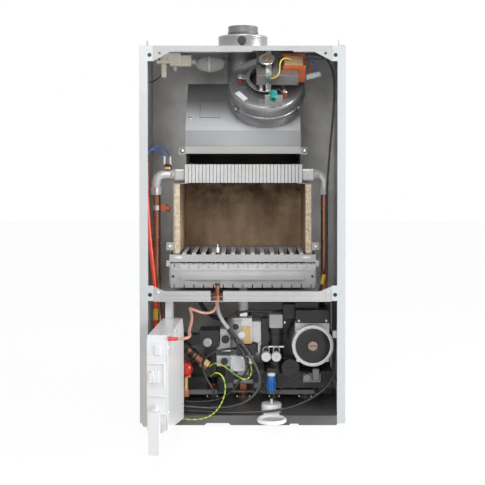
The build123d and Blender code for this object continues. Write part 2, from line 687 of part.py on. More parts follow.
def burner_rail():
    """The frame that carries the blades, with the end plates for the manifold."""
    x = MANIFOLD_X
    y0, y1 = deep(55), deep(222)
    top = CHAMBER_Z0 - GAP
    low = top - BLADE_RAIL_H
    rail = block(-x, x, y0, y1, low, top) - block(-x + 1.5, x - 1.5, y0 + 1.5, y1 - 1.5,
                                                  low - 1, top + 1)
    for d in (72, 196):
        rail += block(-x + 1, x - 1, deep(d), deep(d + 8), low + 1.2, low + 2.4)
    for side in (-1, 1):
        rail += block(side * (x + 0.5), side * (x - 1), y0, y0 + 1.5, 262, top)
        rail += block(side * (x - 1), side * (x + 0.5), y0, y0 + 60, 262, top)
        rail += block(side * x, side * (x + 7), y0, y0 + 1.5, 300, 312)
    return rail


def burner_manifold():
    """The gas manifold: box with a raised rib, slotted skirt below and nozzle strip above."""
    x = MANIFOLD_X - 1 - GAP
    y0 = deep(58)
    top = 297.0
    box = block(-x, x, y0, deep(MANIFOLD_D1), MANIFOLD_Z0, top)
    box += inward([(-127, 277), (-123, 273), (123, 273), (127, 277), (123, 281), (-123, 281)],
                  y0 - 2.2, y0 + 1)
    box += block(GAS_X - 15, GAS_X + 15, deep(MANIFOLD_D1) - 1, deep(GAS_D) + 14, MANIFOLD_Z0, 290)
    for z0, z1, inner in ((top - 1, top + 9, top + 1.5), (MANIFOLD_Z0 + 1, MANIFOLD_Z0 - 8,
                                                           MANIFOLD_Z0 - 1.5)):
        comb = [(-x, z0), (-x, z1)]
        for mark in range(NOZZLE_MARKS):
            middle = (mark - (NOZZLE_MARKS - 1) / 2) * NOZZLE_PITCH
            comb += [(middle - 1, z1), (middle - 1, inner), (middle + 1, inner), (middle + 1, z1)]
        comb += [(x, z1), (x, z0)]
        box += inward(comb, y0, y0 + 1.5)
    return box


def ignition_electrodes():
    """Ceramic electrode in front of the blades, on the gland tube down through the rail."""
    y = deep(50)
    work = polygon_rod((ELECTRODE_X, y, GLAND_LOW), (ELECTRODE_X, y, 266), 4.2, 12)
    floor = LINER_FLOOR_Z + SHEET + GAP
    work += block(ELECTRODE_X - 14, ELECTRODE_X + 14, y - 10, y + 12, floor, floor + 1.5)
    work += polygon_rod((ELECTRODE_X, y, 266), (ELECTRODE_X, y, 338), 3.0, 6)
    return work


# Gas train


def gas_pipe():
    """The gas pipe from the valve up through the chamber floor to the manifold."""
    y = deep(GAS_D)
    pipe_body = polygon_rod((GAS_X, y, GAS_VALVE_TOP + GAP), (GAS_X, y, MANIFOLD_Z0 - GAP),
                            GAS_R, TURNED_SIDES)
    nut = polygon_rod((GAS_X, y, GAS_VALVE_TOP + GAP), (GAS_X, y, GAS_VALVE_TOP + 12), 15, 6)
    return pipe_body + nut


def gas_valve_body():
    """The gas valve: cast body, side covers, inlet pipe and its two-bolt flange."""
    body = block(-12, 19, deep(92), deep(146), 137, GAS_VALVE_TOP)
    body += polygon_rod((-10, deep(112), 150), (-10, deep(112), GAS_VALVE_TOP), 21.3, 20)
    body += block(18, 37, deep(100), deep(146), 138, 182)
    body += block(-26, 5, deep(88), deep(140), 81, 114)
    body += block(-54, -25, deep(96), deep(140), 90, 112)
    body += block(-47, -25, deep(102), deep(140), 123, 166)
    body += block(-26, 19, deep(131), deep(140), 100, 140)
    body += block(-12, 12, deep(138), -TAIL_CLEAR, 62, 84)
    body += polygon_rod((0, TAIL_Y, 33), (0, TAIL_Y, 80), 11.5, 12)
    body += block(-22, 22, TAIL_Y - 13, TAIL_Y + 10, TAIL_TOP + GAP, 34)
    return Compound(children=[body, gas_valve_bracket()])


def gas_valve_bracket():
    """The brass bracket and white adjuster cap on the valve's face."""
    y = deep(92) - GAP
    bracket = block(-1, 15.5, y - 2, y, 139, 173) + block(-1, 15.5, y - 8, y - 1.5, 139, 141)
    bracket += polygon_rod((-3, y - 7, 156), (-3, y, 156), 8, 12)
    return bracket


def gas_valve_coil():
    """The black coil block under the valve."""
    coil = block(-13, 26, deep(84), deep(131) - GAP, 114 + GAP, 137 - GAP)
    return coil + block(26 - 1, 31, deep(96), deep(120), 118, 134)


# Pump


def pump_motor():
    """The pump's cast motor housing, bored for its rotor and recessed for its face."""
    axis = (PUMP_X, PUMP_Z)
    y0, y1 = deep(PUMP_D0), deep(VOLUTE_D0) - GAP
    body = polygon_rod((axis[0], y0, axis[1]), (axis[0], y1, axis[1]), PUMP_R, DRUM_SIDES)
    body += block(PUMP_X - 35, PUMP_X + 35, deep(92), y1, PUMP_Z, TERMINAL_Z - GAP)
    body -= polygon_rod((axis[0], y0 - 1, axis[1]), (axis[0], y0 + 1.5, axis[1]),
                        PUMP_LABEL_R + GAP, DRUM_SIDES)
    body -= polygon_rod((axis[0], y0 + 12, axis[1]), (axis[0], y1 - 6, axis[1]), 27, 12)
    body -= rod((axis[0], y0 + 10, axis[1]), (axis[0], y1 + 1, axis[1]), ROTOR_SHAFT_R + RUNNING)
    body -= rod((axis[0], y0 - 1, axis[1]), (axis[0], y0 + 13, axis[1]), 6 + RUNNING)
    return body


def pump_face():
    """The black plate on the motor's face, open in the middle for the vent plug."""
    y = deep(PUMP_D0)
    face = polygon_rod((PUMP_X, y, PUMP_Z), (PUMP_X, y + 1.5 - RUNNING, PUMP_Z), PUMP_LABEL_R,
                       DRUM_SIDES)
    return face - polygon_rod((PUMP_X, y - 1, PUMP_Z), (PUMP_X, y + 2, PUMP_Z),
                              VENT_PLUG_R + 2 * GAP, TURNED_SIDES)


def pump_vent_plug():
    """The slotted bronze plug that vents the pump."""
    y = deep(PUMP_D0)
    plug = polygon_rod((PUMP_X, y - 2, PUMP_Z), (PUMP_X, y + 1.5 - RUNNING, PUMP_Z),
                       VENT_PLUG_R, TURNED_SIDES)
    plug += rod((PUMP_X, y + 1, PUMP_Z), (PUMP_X, y + 9.5, PUMP_Z), 6)
    return plug - block(PUMP_X - 7, PUMP_X + 7, y - 3, y - 1, PUMP_Z - 1, PUMP_Z + 1)


def pump_terminal_box():
    """The terminal box on the motor and the cable duct beside it."""
    box = block(PUMP_X - 35, PUMP_X + 35, deep(84), deep(150), TERMINAL_Z, 208)
    box += block(PUMP_X - 60, PUMP_X - 34, deep(104), deep(140), 186, 217)
    return box + block(PUMP_X - 35, RETURN_X - PIPE_R - 2, deep(100), deep(150), 207, 222)


def pump_rotor():
    """The pump's rotor, its shaft and the wheel in the volute, on one axis."""
    y = deep(VOLUTE_D0)
    spin = polygon_rod((PUMP_X, deep(PUMP_D0) + 14, PUMP_Z), (PUMP_X, y - 8, PUMP_Z), 23, 12)
    spin += rod((PUMP_X, deep(PUMP_D0) + 12.5, PUMP_Z), (PUMP_X, y + 14, PUMP_Z), ROTOR_SHAFT_R)
    return spin + polygon_rod((PUMP_X, y + 13, PUMP_Z), (PUMP_X, y + 33, PUMP_Z), 33, 12)


def pump_volute():
    """The volute behind the motor, its foot on the return block and the return boss."""
    y0, y1 = deep(VOLUTE_D0), deep(VOLUTE_D1)
    body = polygon_rod((PUMP_X, y0, PUMP_Z), (PUMP_X, y1, PUMP_Z), VOLUTE_R, 24)
    body += block(PUMP_X - 18, PUMP_X + 18, y0 + 8, y1 - 8, RETURN_TOP + GAP, PUMP_Z)
    back = deep(RETURN_BACK_D)
    body += polygon_rod((RETURN_X, back, PUMP_Z), (RETURN_X, back, RETURN_BOSS_Z), PIPE_R + 3, 8)
    body -= polygon_rod((PUMP_X, y0 + 8, PUMP_Z), (PUMP_X, y1 - 8, PUMP_Z), 38, 12)
    return body - rod((PUMP_X, y0 - 1, PUMP_Z), (PUMP_X, y0 + 9, PUMP_Z), ROTOR_SHAFT_R + RUNNING)


# Hydraulic blocks


def return_block():
    """The black return block: manifold, filter column, side arm and the knobbed boss."""
    y = deep(118)
    body = block(44, INNER - 12, deep(120), deep(PLATE_D0) - GAP, 40, RETURN_TOP)
    body += polygon_rod((68, y, RETURN_TOP - 2), (68, y, 168), 15.2, 16)
    body += block(38, 52, deep(106), deep(134), 124, 187)
    body += block(50, 68, deep(110), deep(130), 138, 158)
    body += block(36, 54, deep(105), deep(134), 98, 126)
    body += block(80, 116, deep(118), deep(140), 68, 104)
    body += polygon_rod((97.6, deep(94), 87), (97.6, deep(119), 87), 18.2, 20)
    body += block(50, 68, deep(86), deep(124), 79, 88)
    body += block(50, 68, deep(110), deep(128), 70, 88)
    body += block(20, 60, deep(190), deep(PLATE_D0) - GAP, 62, RETURN_TOP)
    for x, r in ((TAIL_PITCH, 10.5), (2 * TAIL_PITCH, 13.2)):
        body += polygon_rod((x, TAIL_Y, TAIL_TOP + GAP), (x, TAIL_Y, 42), r + 1, 12)
    return body + drain_tap_body()


def return_head():
    """The grey actuator head on the return block's column."""
    return block(54, 82, deep(97), deep(128), 168 + GAP, 197)


def sensor_caps():
    """The two white sensor caps on the return block."""
    caps = []
    for x, back in ((47.5, deep(105) - GAP), (68.5, deep(102.5) - GAP)):
        caps.append(polygon_rod((x, deep(90), 110.5), (x, back, 110.5), 10, 16))
    return Compound(children=caps)


def filling_tap_stem():
    """The white stem that the blue filling tap turns on."""
    y = deep(TAP_D)
    stem = polygon_rod((TAP_X, y, 71.5), (TAP_X, y, 79 - GAP), 8.5, 12)
    return stem + rod((TAP_X, y, 58), (TAP_X, y, 72), 4)


def filling_tap():
    """The blue grip of the filling tap."""
    y = deep(TAP_D)
    grip = polygon_rod((TAP_X, y, 38), (TAP_X, y, 71.5 - GAP), TAP_R, 12)
    return grip - rod((TAP_X, y, 57), (TAP_X, y, 73), 4 + RUNNING)


def drain_tap_body():
    """The grey body of the drain tap on the front of the return block."""
    body = block(123, 161, deep(106), deep(121), 54, 74)
    body += block(143, 157, deep(100), deep(112), 60, 84)
    return body - rod((132, deep(104), 66), (132, deep(114), 66), 3 + RUNNING)


def drain_tap():
    """The drain tap's knob."""
    knob = polygon_rod((132, deep(95), 66), (132, deep(106) - GAP, 66), 8.5, 10)
    return knob + rod((132, deep(105), 66), (132, deep(113), 66), 3)


def flow_block():
    """The black flow block: head, lower body, arm to the flow pipe and its two sockets."""
    arm_y0, arm_y1 = deep(FLOW_ARM_D - 14), deep(FLOW_ARM_D + 14)
    body = block(-89, -47 - 2, deep(100), deep(150), 128, 163)
    body += polygon_rod((-73, deep(96), 139), (-73, deep(101), 139), 9, TURNED_SIDES)
    body += block(FLOW_X - 12, -88, arm_y0, arm_y1, 130, FLOW_ARM_Z1)
    body += block(-80, -56, deep(128), deep(PLATE_D0) - GAP, 62, 130)
    body += block(-150, -40, deep(216), deep(PLATE_D0) - GAP, 40, 62)
    body += block(-80, -40, deep(190), deep(PLATE_D0) - GAP, 61, 76)
    for x, r in ((-2 * TAIL_PITCH, 13.2), (-TAIL_PITCH, 10.5)):
        body += polygon_rod((x, TAIL_Y, TAIL_TOP + GAP), (x, TAIL_Y, 42), r + 1, 12)
    collar = HOT_TOP + HOT_RUN * 14
    body += polygon_rod(tuple(HOT_TOP), tuple(collar), 12, 12)
    return body + block(-132, -117, deep(104), arm_y1, 126, 131)


def hot_water_pipe():
    """The short copper pipe from the flow block's collar to its brass union."""
    start = HOT_TOP + HOT_RUN * (14 + GAP)
    end = HOT_TOP + HOT_RUN * 62
    body = polygon_rod(tuple(start), tuple(end), 8.5, TURNED_SIDES)
    return body + polygon_rod(tuple(end - HOT_RUN * 10), tuple(end + HOT_RUN * 6), 12, 8)


def plate_heat_exchanger():
    """The plate heat exchanger across the back of the two blocks."""
    body = block(-60, 45, deep(PLATE_D0), deep(PLATE_D0 + 44), 60, 140)
    return chamfer(body.edges().filter_by(Axis.Y), 8)


def safety_valve():
    """The brass safety valve with its outlet, on the flow block."""
    body = block(-131, -109, deep(118), deep(150), 62 + GAP, 93)
    body += block(-128, -112, deep(149), deep(240), 62 + GAP, 78)
    body += polygon_rod((-120, deep(128), 22), (-120, deep(128), 64), 7, 8)
    return body - rod((-120, deep(117), 81.5), (-120, deep(132), 81.5), 4 + RUNNING)


def safety_valve_knob():
    """The red test knob on the safety valve."""
    knob = polygon_rod((-120, deep(101), 81.5), (-120, deep(118) - GAP, 81.5), 17, 20)
    return knob + rod((-120, deep(117), 81.5), (-120, deep(131), 81.5), 4)


# Base


def bottom_tray():
    """The dark tray across the bottom, with its front lip, sides and pipe holes."""
    y0, y1 = deep(TRAY_D0), deep(TRAY_D1)
    tray = block(-INNER, INNER, y0, y1, TRAY_Z - SHEET, TRAY_Z)
    lip = [(-HALF_W + 5, TRAY_Z), (-HALF_W + 5, -19), (-HALF_W + 11, -25), (-78, -25), (-73, -20.7),
           (-29, -20.7), (-24, -25), (94, -25), (96, -22), (112, -22), (114, -25),
           (HALF_W - 11, -25), (HALF_W - 5, -19), (HALF_W - 5, TRAY_Z)]
    tray += inward(lip, y0, y0 + SHEET)
    tray += block(-INNER, INNER, y1 - SHEET, y1, TRAY_Z - SHEET, SHELF_Z - GAP)
    for side in (-1, 1):
        tray += block(side * INNER, side * (INNER - SHEET), y0 + 8, y1, TRAY_Z - SHEET, 20)
    for place, r in enumerate(TAIL_RADII):
        x = (place - 2) * TAIL_PITCH
        tray -= polygon_rod((x, TAIL_Y, TRAY_Z - 3), (x, TAIL_Y, TRAY_Z + 3), r + 2, 12)
    return tray


def pipe_brackets():
    """The light plates that hold the pipe tails, on a strip along the back plate."""
    back = -BACK_T - GAP
    plate = block(-SHELF_OUT, SHELF_OUT, back - SHELF_T, back, SHELF_Z, 30)
    corner = 20.0
    front = -SHELF_DEPTH
    for side in (-1, 1):
        outline = [(side * SHELF_IN, back), (side * SHELF_IN, front + corner),
                   (side * (SHELF_IN + corner), front), (side * (SHELF_OUT - corner), front),
                   (side * SHELF_OUT, front + corner), (side * SHELF_OUT, back)]
        plate += upward(outline, SHELF_Z, SHELF_Z + SHELF_T)
    plate += block(-24, 24, TAIL_Y - 22, back, SHELF_Z, SHELF_Z + SHELF_T)
    for place, r in enumerate(TAIL_RADII):
        x = (place - 2) * TAIL_PITCH
        hole = RegularPolygon(r + TAIL_HOLE, 12, major_radius=False)
        plate -= extrude(Pos(x, TAIL_Y, SHELF_Z - 1) * hole, amount=SHELF_T + 2)
    return plate


def connection_tails():
    """The five threaded tails with the collars that rest on the plates."""
    tails = []
    for place, r in enumerate(TAIL_RADII):
        x = (place - 2) * TAIL_PITCH
        collar = SHELF_Z + SHELF_T + RUNNING
        tail = rod((x, TAIL_Y, TAIL_LOW), (x, TAIL_Y, collar), r)
        tail += polygon_rod((x, TAIL_Y, collar), (x, TAIL_Y, collar + 3), r + 4, 8)
        tails.append(tail + polygon_rod((x, TAIL_Y, collar + 3), (x, TAIL_Y, TAIL_TOP), r + 1, 6))
    return Compound(children=tails)


def pressure_gauge():
    """The loose gauge face down on the tray, and its trim ring at the front lip."""
    x, y = 59, deep(104)
    low = TRAY_Z + GAP
    gauge = extrude(Pos(x, y, low) * RegularPolygon(20.8, 20), amount=14)
    gauge += extrude(Pos(x, y, low) * RegularPolygon(8, 8), amount=27)
    return gauge


def gauge_ring():
    """The gauge's white trim ring, hung on the tray's edge by its tab."""
    x, y = 58, deep(42.5)
    ring = RegularPolygon(29.8, 20) - RegularPolygon(21.5, 20)
    body = extrude(Pos(x, y, -8) * ring, amount=7)
    body += block(x - 16, x + 16, deep(69), deep(76), -5.2, -1)
    return body


def side_clip():
    """The white clip inside the right panel, over the tray's side."""
    return block(INNER - SHEET - GAP - 4, INNER - SHEET - GAP, deep(80), deep(104), TRAY_Z + GAP, 29)


def cable_clamps():
    """The block that gathers the cables at the left, and the clip at the right wall."""
    body = block(-190, CLAMP_X, deep(80), deep(116), TRAY_Z + GAP, 30)
    body += block(183, INNER - GAP, deep(86), deep(98), 150, 164)
    return body


# Control box, drawn shut and swung open by the last step of each piece


def swung(piece):
    """A piece drawn in the shut box's frame, put at the hinge and opened."""
    return Pos(HINGE_X, deep(HINGE_D), 0) * Rot(0, 0, -OPEN_ANGLE) * piece


def box_outline(inset):
    """The box's (across, up) outline, drawn in by an inset."""
    a0, a1 = BOX_LEFT + inset, BOX_RIGHT - inset
    top = BOX_TOP - inset
    return [(a0, BOX_LOW_LEFT + inset), (a0, 172), (a0 + 16, top), (a1 - 10, top),
            (a1, top - 10), (a1, BOX_LOW_RIGHT + inset)]


def control_box_shell():
    """The box's tray-shaped moulding with hinge arm, hinge foot and locking arm."""
    back = BOX_B1 - BOX_WALL - GAP
    shell = inward(box_outline(0), BOX_B0, back)
    shell -= inward(box_outline(BOX_WALL), BOX_B0 + BOX_WALL, back + 1)
    shell += inward([(-13, 180), (-13, 204), (-7, 230), (-7, HINGE_TOP), (7, HINGE_TOP), (7, 230),
                     (11, 204), (11, 180)], -7, 7)
    shell += block(-9, 9, -9, 9, BOX_LOW_LEFT, 12)
    shell += block(BOX_RIGHT - 2, 252, 4, 10, 60, 77)
    shell += block(240, 252, 1, 20, 3, 77)
    shell += block(BOX_RIGHT - 0.5, BOX_RIGHT + 6, -2, 12, 118, 138)
    shell += block(BOX_RIGHT - 0.5, BOX_RIGHT + 9, 0, 14, 48, 54)
    pin = HINGE_PIN_R + RUNNING
    shell -= rod((0, 0, 220), (0, 0, 240), pin)
    shell -= rod((0, 0, BOX_LOW_LEFT - 1), (0, 0, 13), pin)
    return swung(shell)


def control_box_cover():
    """The box's back cover, with the raised panel that faces the works."""
    back = BOX_B1 - BOX_WALL
    cover = inward(box_outline(0.5), back, BOX_B1)
    return Compound(children=[swung(cover), ignition_boot()])


def control_fascia():
    """The control fascia on the box's front, pierced for its buttons."""
    y1 = BOX_B0 - GAP
    face = block(BOX_LEFT + 6, BOX_RIGHT - 8, y1 - FASCIA_T, y1, FASCIA_Z0, FASCIA_Z1)
    face = chamfer(face.faces().sort_by(Axis.Y)[0].edges(), 4)
    face -= block(60, 130, y1 - FASCIA_T - 1, y1 - FASCIA_T + 1, 100, 140)
    for place in range(BUTTON_COUNT):
        a = button_middle(place)
        face -= block(a - BUTTON_W / 2, a + BUTTON_W / 2, y1 - FASCIA_T - 1, y1 + 1,
                      BUTTON_Z - BUTTON_H / 2, BUTTON_Z + BUTTON_H / 2)
    return swung(face)


def button_middle(place):
    """How far along the fascia a button's middle is."""
    return FASCIA_MIDDLE + (place - (BUTTON_COUNT - 1) / 2) * BUTTON_PITCH


def button(place):
    """One push button, standing half a millimetre proud of the fascia."""
    a = button_middle(place)
    w, h = BUTTON_W / 2 - BUTTON_GAP, BUTTON_H / 2 - BUTTON_GAP
    y1 = BOX_B0 - GAP
    front = y1 - FASCIA_T - 0.5
    return swung(block(a - w, a + w, front, y1 - BUTTON_TRAVEL, BUTTON_Z - h, BUTTON_Z + h))


def ignition_boot():
    """The red boot on the back cover that the ignition lead comes out of."""
    place = Pos(BOOT_A, BOX_B1 + RUNNING, BOOT_Z) * Rot(-90, 0, 0)
    return swung(place * extrude(RegularPolygon(BOOT_R, 8), amount=BOOT_LENGTH))


def hinge_brackets():
    """The pin hung from the chamber floor and the pin stood on a plate at the tray."""
    y = deep(HINGE_D)
    top = LINER_FLOOR_Z - GAP
    arm = block(HINGE_X - 12, HINGE_X + 12, y - 9, y + 10, top - 1.4, top)
    arm += rod((HINGE_X, y, 224), (HINGE_X, y, top), HINGE_PIN_R)
    foot = block(HINGE_X - 10, HINGE_X + 10, y - 9, deep(TRAY_D0) - GAP, -8.6, BOX_LOW_LEFT - GAP - 2)
    foot += rod((HINGE_X, y, -8), (HINGE_X, y, 10), HINGE_PIN_R)
    return Compound(children=[arm, foot])


# Cords. Each list is one cord's route; its tube has straight runs and tangent arcs.

LEAD_R = 2.5
LEAD = [(-50.5, -249, 230.05), (-52.5, -256, 218), (-62, -266, 210.5), (-79, -278, 212),
        (-95, -293, 220.5), (-103, -310, 227.5), (-99, -330, 224.5), (-94.3, -356, 216.5),
        (-95.5, -386, 206.5), (-97, -413, 200), (-93.5, -430, 197), (-95.5, -441.5, 195.5),
        (-102.5, -448.8, 194.6), (-112.6, -451.4, 194.5)]

SLEEVE_R = 3.0
GREY = [(-54, -210, 239.2), (-53.4, -208, 222), (-50, -211.5, 200), (-34.5, -217, 176),
        (-8.7, -221.5, 149.2), (8, -221.6, 129), (20, -221.5, 107), (32.9, -221.5, 81),
        (35.3, -221, 60.8), (28.3, -219.5, 39.7), (5.2, -216, 19), (-27.4, -211, 8),
        (-62, -207.5, 5), (-95, -206.5, 6.5), (-124, -206, 9), (-150.5, -206, 10)]
SENSOR_R = 2.5
SENSOR = [(83, -189, 203.5), (69, -203, 203), (50, -214, 204.5), (23.6, -219, 207.8),
          (-4.1, -218, 204.2), (-26, -213, 194.6), (-35.7, -209.5, 181.9), (-31.5, -209.5, 165.5),
          (-18.2, -215.5, 149.6), (-1, -219.7, 124), (11.5, -219.5, 98), (6.5, -215, 79.3),
          (-8.9, -211, 57.9), (-27, -207, 36), (-49, -203.5, 22), (-80, -200.5, 16.5),
          (-115, -198.5, 16), (-150.5, -198, 18)]
COIL_CABLE = [(-12.5, -203, 127), (-29, -210.5, 127.8), (-46.2, -215, 126.1), (-64.8, -214, 119.8),
              (-79, -210, 107.4), (-83.8, -206.5, 90), (-78, -205, 72), (-66, -202.5, 50),
              (-56, -199.5, 29), (-62, -195, 11), (-84, -192.5, 3), (-116, -191.5, 3.5),
              (-150.5, -191, 6)]
PUMP_CABLE = [(190.6, -207, 150.5), (191, -207, 127), (190.8, -207.2, 100), (187.5, -208.5, 74),
              (175.5, -211.5, 53), (152, -215.5, 34.5), (119, -219.8, 17.5), (85, -222, 7),
              (47, -222.6, 2.2), (10, -222.4, 0.2), (-27, -221, -0.4), (-62, -217.5, 0),
              (-94, -214, 0.8), (-123, -212.3, 1.6), (-150.5, -212, 2)]
CAPILLARY_R = 1.0
CAPILLARY = [(59, -195, 21.4), (61.5, -199.5, 29), (69.5, -206.5, 35.5), (78, -209.5, 46),
             (90, -209.5, 58), (105, -209, 68), (120, -206.5, 76), (134, -200, 79.3),
             (143.6, -193, 78)]
HOSE_R = 4.5
HOSE = [(-93, -150, 239.2), (-92.5, -151, 224), (-87, -155, 207), (-74, -162, 193),
        (-57, -170, 185), (-40, -177, 182), (-28, -182.5, 181)]

EARTH_R = 1.5
EARTH_VALVE = [(4.6, -204, 101), (13.5, -209, 98), (18.3, -213, 88.5), (17, -216, 76),
               (9.5, -219, 66.8), (-3, -220, 68), (-20, -218, 80.2), (-37, -214, 93),
               (-53, -209, 98.5), (-64, -203.5, 94.5), (-69, -196.5, 88)]
EARTH_BOX = [(-68, -170.6, 66), (-67.6, -184, 64.5), (-66.3, -198, 67), (-63, -211, 74.5),
             (-54.5, -218.5, 81), (-44, -220.8, 78), (-37, -221.6, 65), (-34.8, -222, 46),
             (-40.5, -222.8, 24), (-53, -225.6, 4), (-70, -230, -7.5), (-92, -233, -11.5),
             (-115, -233.5, -10.8), (-135.6, -233.5, -8)]

FINE_R = 1.3
FAN_EARTH = [(55, -284, 672), (62, -287.5, 672.6), (70, -289.5, 678.5), (72.5, -289.5, 689.5),
             (72, -287.5, 701), (77.5, -285, 710.5), (88, -280.5, 712.5), (95, -272, 709)]
FAN_LIVE = [(124.5, -252, 712), (133, -252, 708.5), (136.5, -251, 697), (130.5, -249.5, 686.4)]
FAN_RETURN = [(124.5, -256, 716), (134, -257.5, 713.5), (142, -256, 704), (145, -252.5, 692),
              (144.5, -250, 686.4)]
SWITCH_LEAD = [(-198.3, -186, 672), (-189, -184.5, 672.5), (-180, -182, 677), (-172, -180, 683.5),
               (-166.5, -179, 690)]
THERMO_LEADS = ([(-198.3, -226, 520), (-191, -223, 531), (-181, -217, 535), (-170, -212, 529.5),
                 (-160.5, -209.5, 520.5), (-159.3, -209, 510)],
                [(-198.3, -234, 512), (-191, -231, 528), (-178, -224.5, 540), (-162, -216, 540),
                 (-150, -210.5, 529), (-147.3, -209, 510)])
PAIR_R = 2.0
PAIR = [(121, -247, 722), (138, -247.5, 724), (157, -243, 721), (174, -237, 708),
        (182.5, -232.5, 684), (184, -230, 648), (181.5, -229, 600), (176.5, -229, 551),
        (172.5, -229.3, 502), (169, -229.3, 453), (165.5, -228.5, 404), (162, -227, 355),
        (159, -225.5, 306), (153.5, -219, 267), (150.5, -206, 242), (150, -191, 221.6)]


def ignition_lead():
    """The high-voltage lead from the gland to the boot on the swung-out box."""
    return cord(LEAD, LEAD_R)


def lower_cables():
    """The lower compartment's cables, the capillary of the gauge and the hose."""
    routes = ((GREY, SLEEVE_R), (SENSOR, SENSOR_R), (COIL_CABLE, SENSOR_R),
              (PUMP_CABLE, SENSOR_R), (CAPILLARY, CAPILLARY_R), (HOSE, HOSE_R))
    return Compound(children=[cord(route, r) for route, r in routes])


def earth_wires():
    """The two earth wires in the lower compartment."""
    return Compound(children=[cord(route, EARTH_R) for route in (EARTH_VALVE, EARTH_BOX)])


def upper_leads():
    """The leads of fan, switch and thermostat, and the pair down the right side."""
    fine = [FAN_EARTH, FAN_LIVE, FAN_RETURN, SWITCH_LEAD, *THERMO_LEADS]
    work = [cord(route, FINE_R) for route in fine]
    work.append(cord(PAIR, PAIR_R))
    work.append(block(124, 152, deep(44), deep(56), 670, 687))
    return Compound(children=work)


def return_fittings():
    """What stands on the return block: actuator head, two sensor caps, tap stem."""
    return Compound(children=[return_head(), sensor_caps(), filling_tap_stem()])


def pump_covers():
    """The pump's black plastics: face plate, terminal box and duct."""
    return Compound(children=[pump_face(), pump_terminal_box()])


def gauge_parts():
    """The gauge body and its trim ring."""
    return Compound(children=[pressure_gauge(), gauge_ring()])


def cable_clips():
    """Clips and clamps on the side panels and the tray."""
    return Compound(children=[side_clip(), cable_clamps()])


RIGHT_PANEL, LEFT_PANEL = both_sides(side_panel())

NODES = {
    "side_panel_right": RIGHT_PANEL,
    "side_panel_left": LEFT_PANEL,
    "back_plate": back_plate(),
    "top_panel": top_panel(),
    "cross_rail": cross_rail(),
    "chamber_liner": chamber_liner(),
    "expansion_vessel": expansion_vessel(),
    "bottom_tray": bottom_tray(),
    "pipe_brackets": pipe_brackets(),
    "connection_tails": connection_tails(),
    "flue_collar": flue_collar(),
    "flue_spigot": flue_spigot(),
    "flue_hood": flue_hood(),
    "fan_housing": fan_housing(),
    "fan_motor_core": fan_motor_core(),
    "fan_motor_coil": fan_motor_coil(),
    "fan_motor_frame": fan_motor_frame(),
    "fan_impeller": fan_impeller(),
    "air_pressure_switch": air_pressure_switch(),
    "heat_exchanger_core": heat_exchanger_core(),
    "heat_exchanger_pipework": heat_exchanger_pipework(),
    "flow_pipe": flow_pipe(),
    "return_pipe": return_pipe(),
    "heat_sensors": heat_sensors(),
    "combustion_chamber": combustion_chamber(),
    "insulation_boards": insulation_boards(),
    "burner_blades": burner_blades(),
    "burner_rail": burner_rail(),
    "burner_manifold": burner_manifold(),
    "ignition_electrodes": ignition_electrodes(),
    "gas_pipe": gas_pipe(),
    "gas_valve_body": gas_valve_body(),
    "gas_valve_coil": gas_valve_coil(),
    "pump_motor": pump_motor(),
    "pump_covers": pump_covers(),
    "pump_rotor": pump_rotor(),
    "pump_volute": pump_volute(),
    "pump_vent_plug": pump_vent_plug(),
    "return_block": return_block(),
    "return_fittings": return_fittings(),
    "filling_tap": filling_tap(),
    "drain_tap": drain_tap(),
    "flow_block": flow_block(),
    "hot_water_pipe": hot_water_pipe(),
    "plate_heat_exchanger": plate_heat_exchanger(),
    "safety_valve": safety_valve(),
    "safety_valve_knob": safety_valve_knob(),
    "gauge_parts": gauge_parts(),
    "cable_clips": cable_clips(),
    "hinge_brackets": hinge_brackets(),
    "control_box_shell": control_box_shell(),
    "control_box_cover": control_box_cover(),
    "control_fascia": control_fascia(),
    "ignition_lead": ignition_lead(),
    "lower_cables": lower_cables(),
    "earth_wires": earth_wires(),
    "upper_leads": upper_leads(),
}
for place in range(BUTTON_COUNT):
    NODES[f"button_{place + 1}"] = button(place)

for name, shape in NODES.items():
    export_step(shape, f"parts/{name}.step")
print("nodes", len(NODES))
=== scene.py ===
import json
import math
import bmesh
import bpy
from bpy.props import FloatProperty, FloatVectorProperty, IntProperty, PointerProperty
from bpy.types import Operator, Panel, PropertyGroup
from mathutils import Matrix, Vector

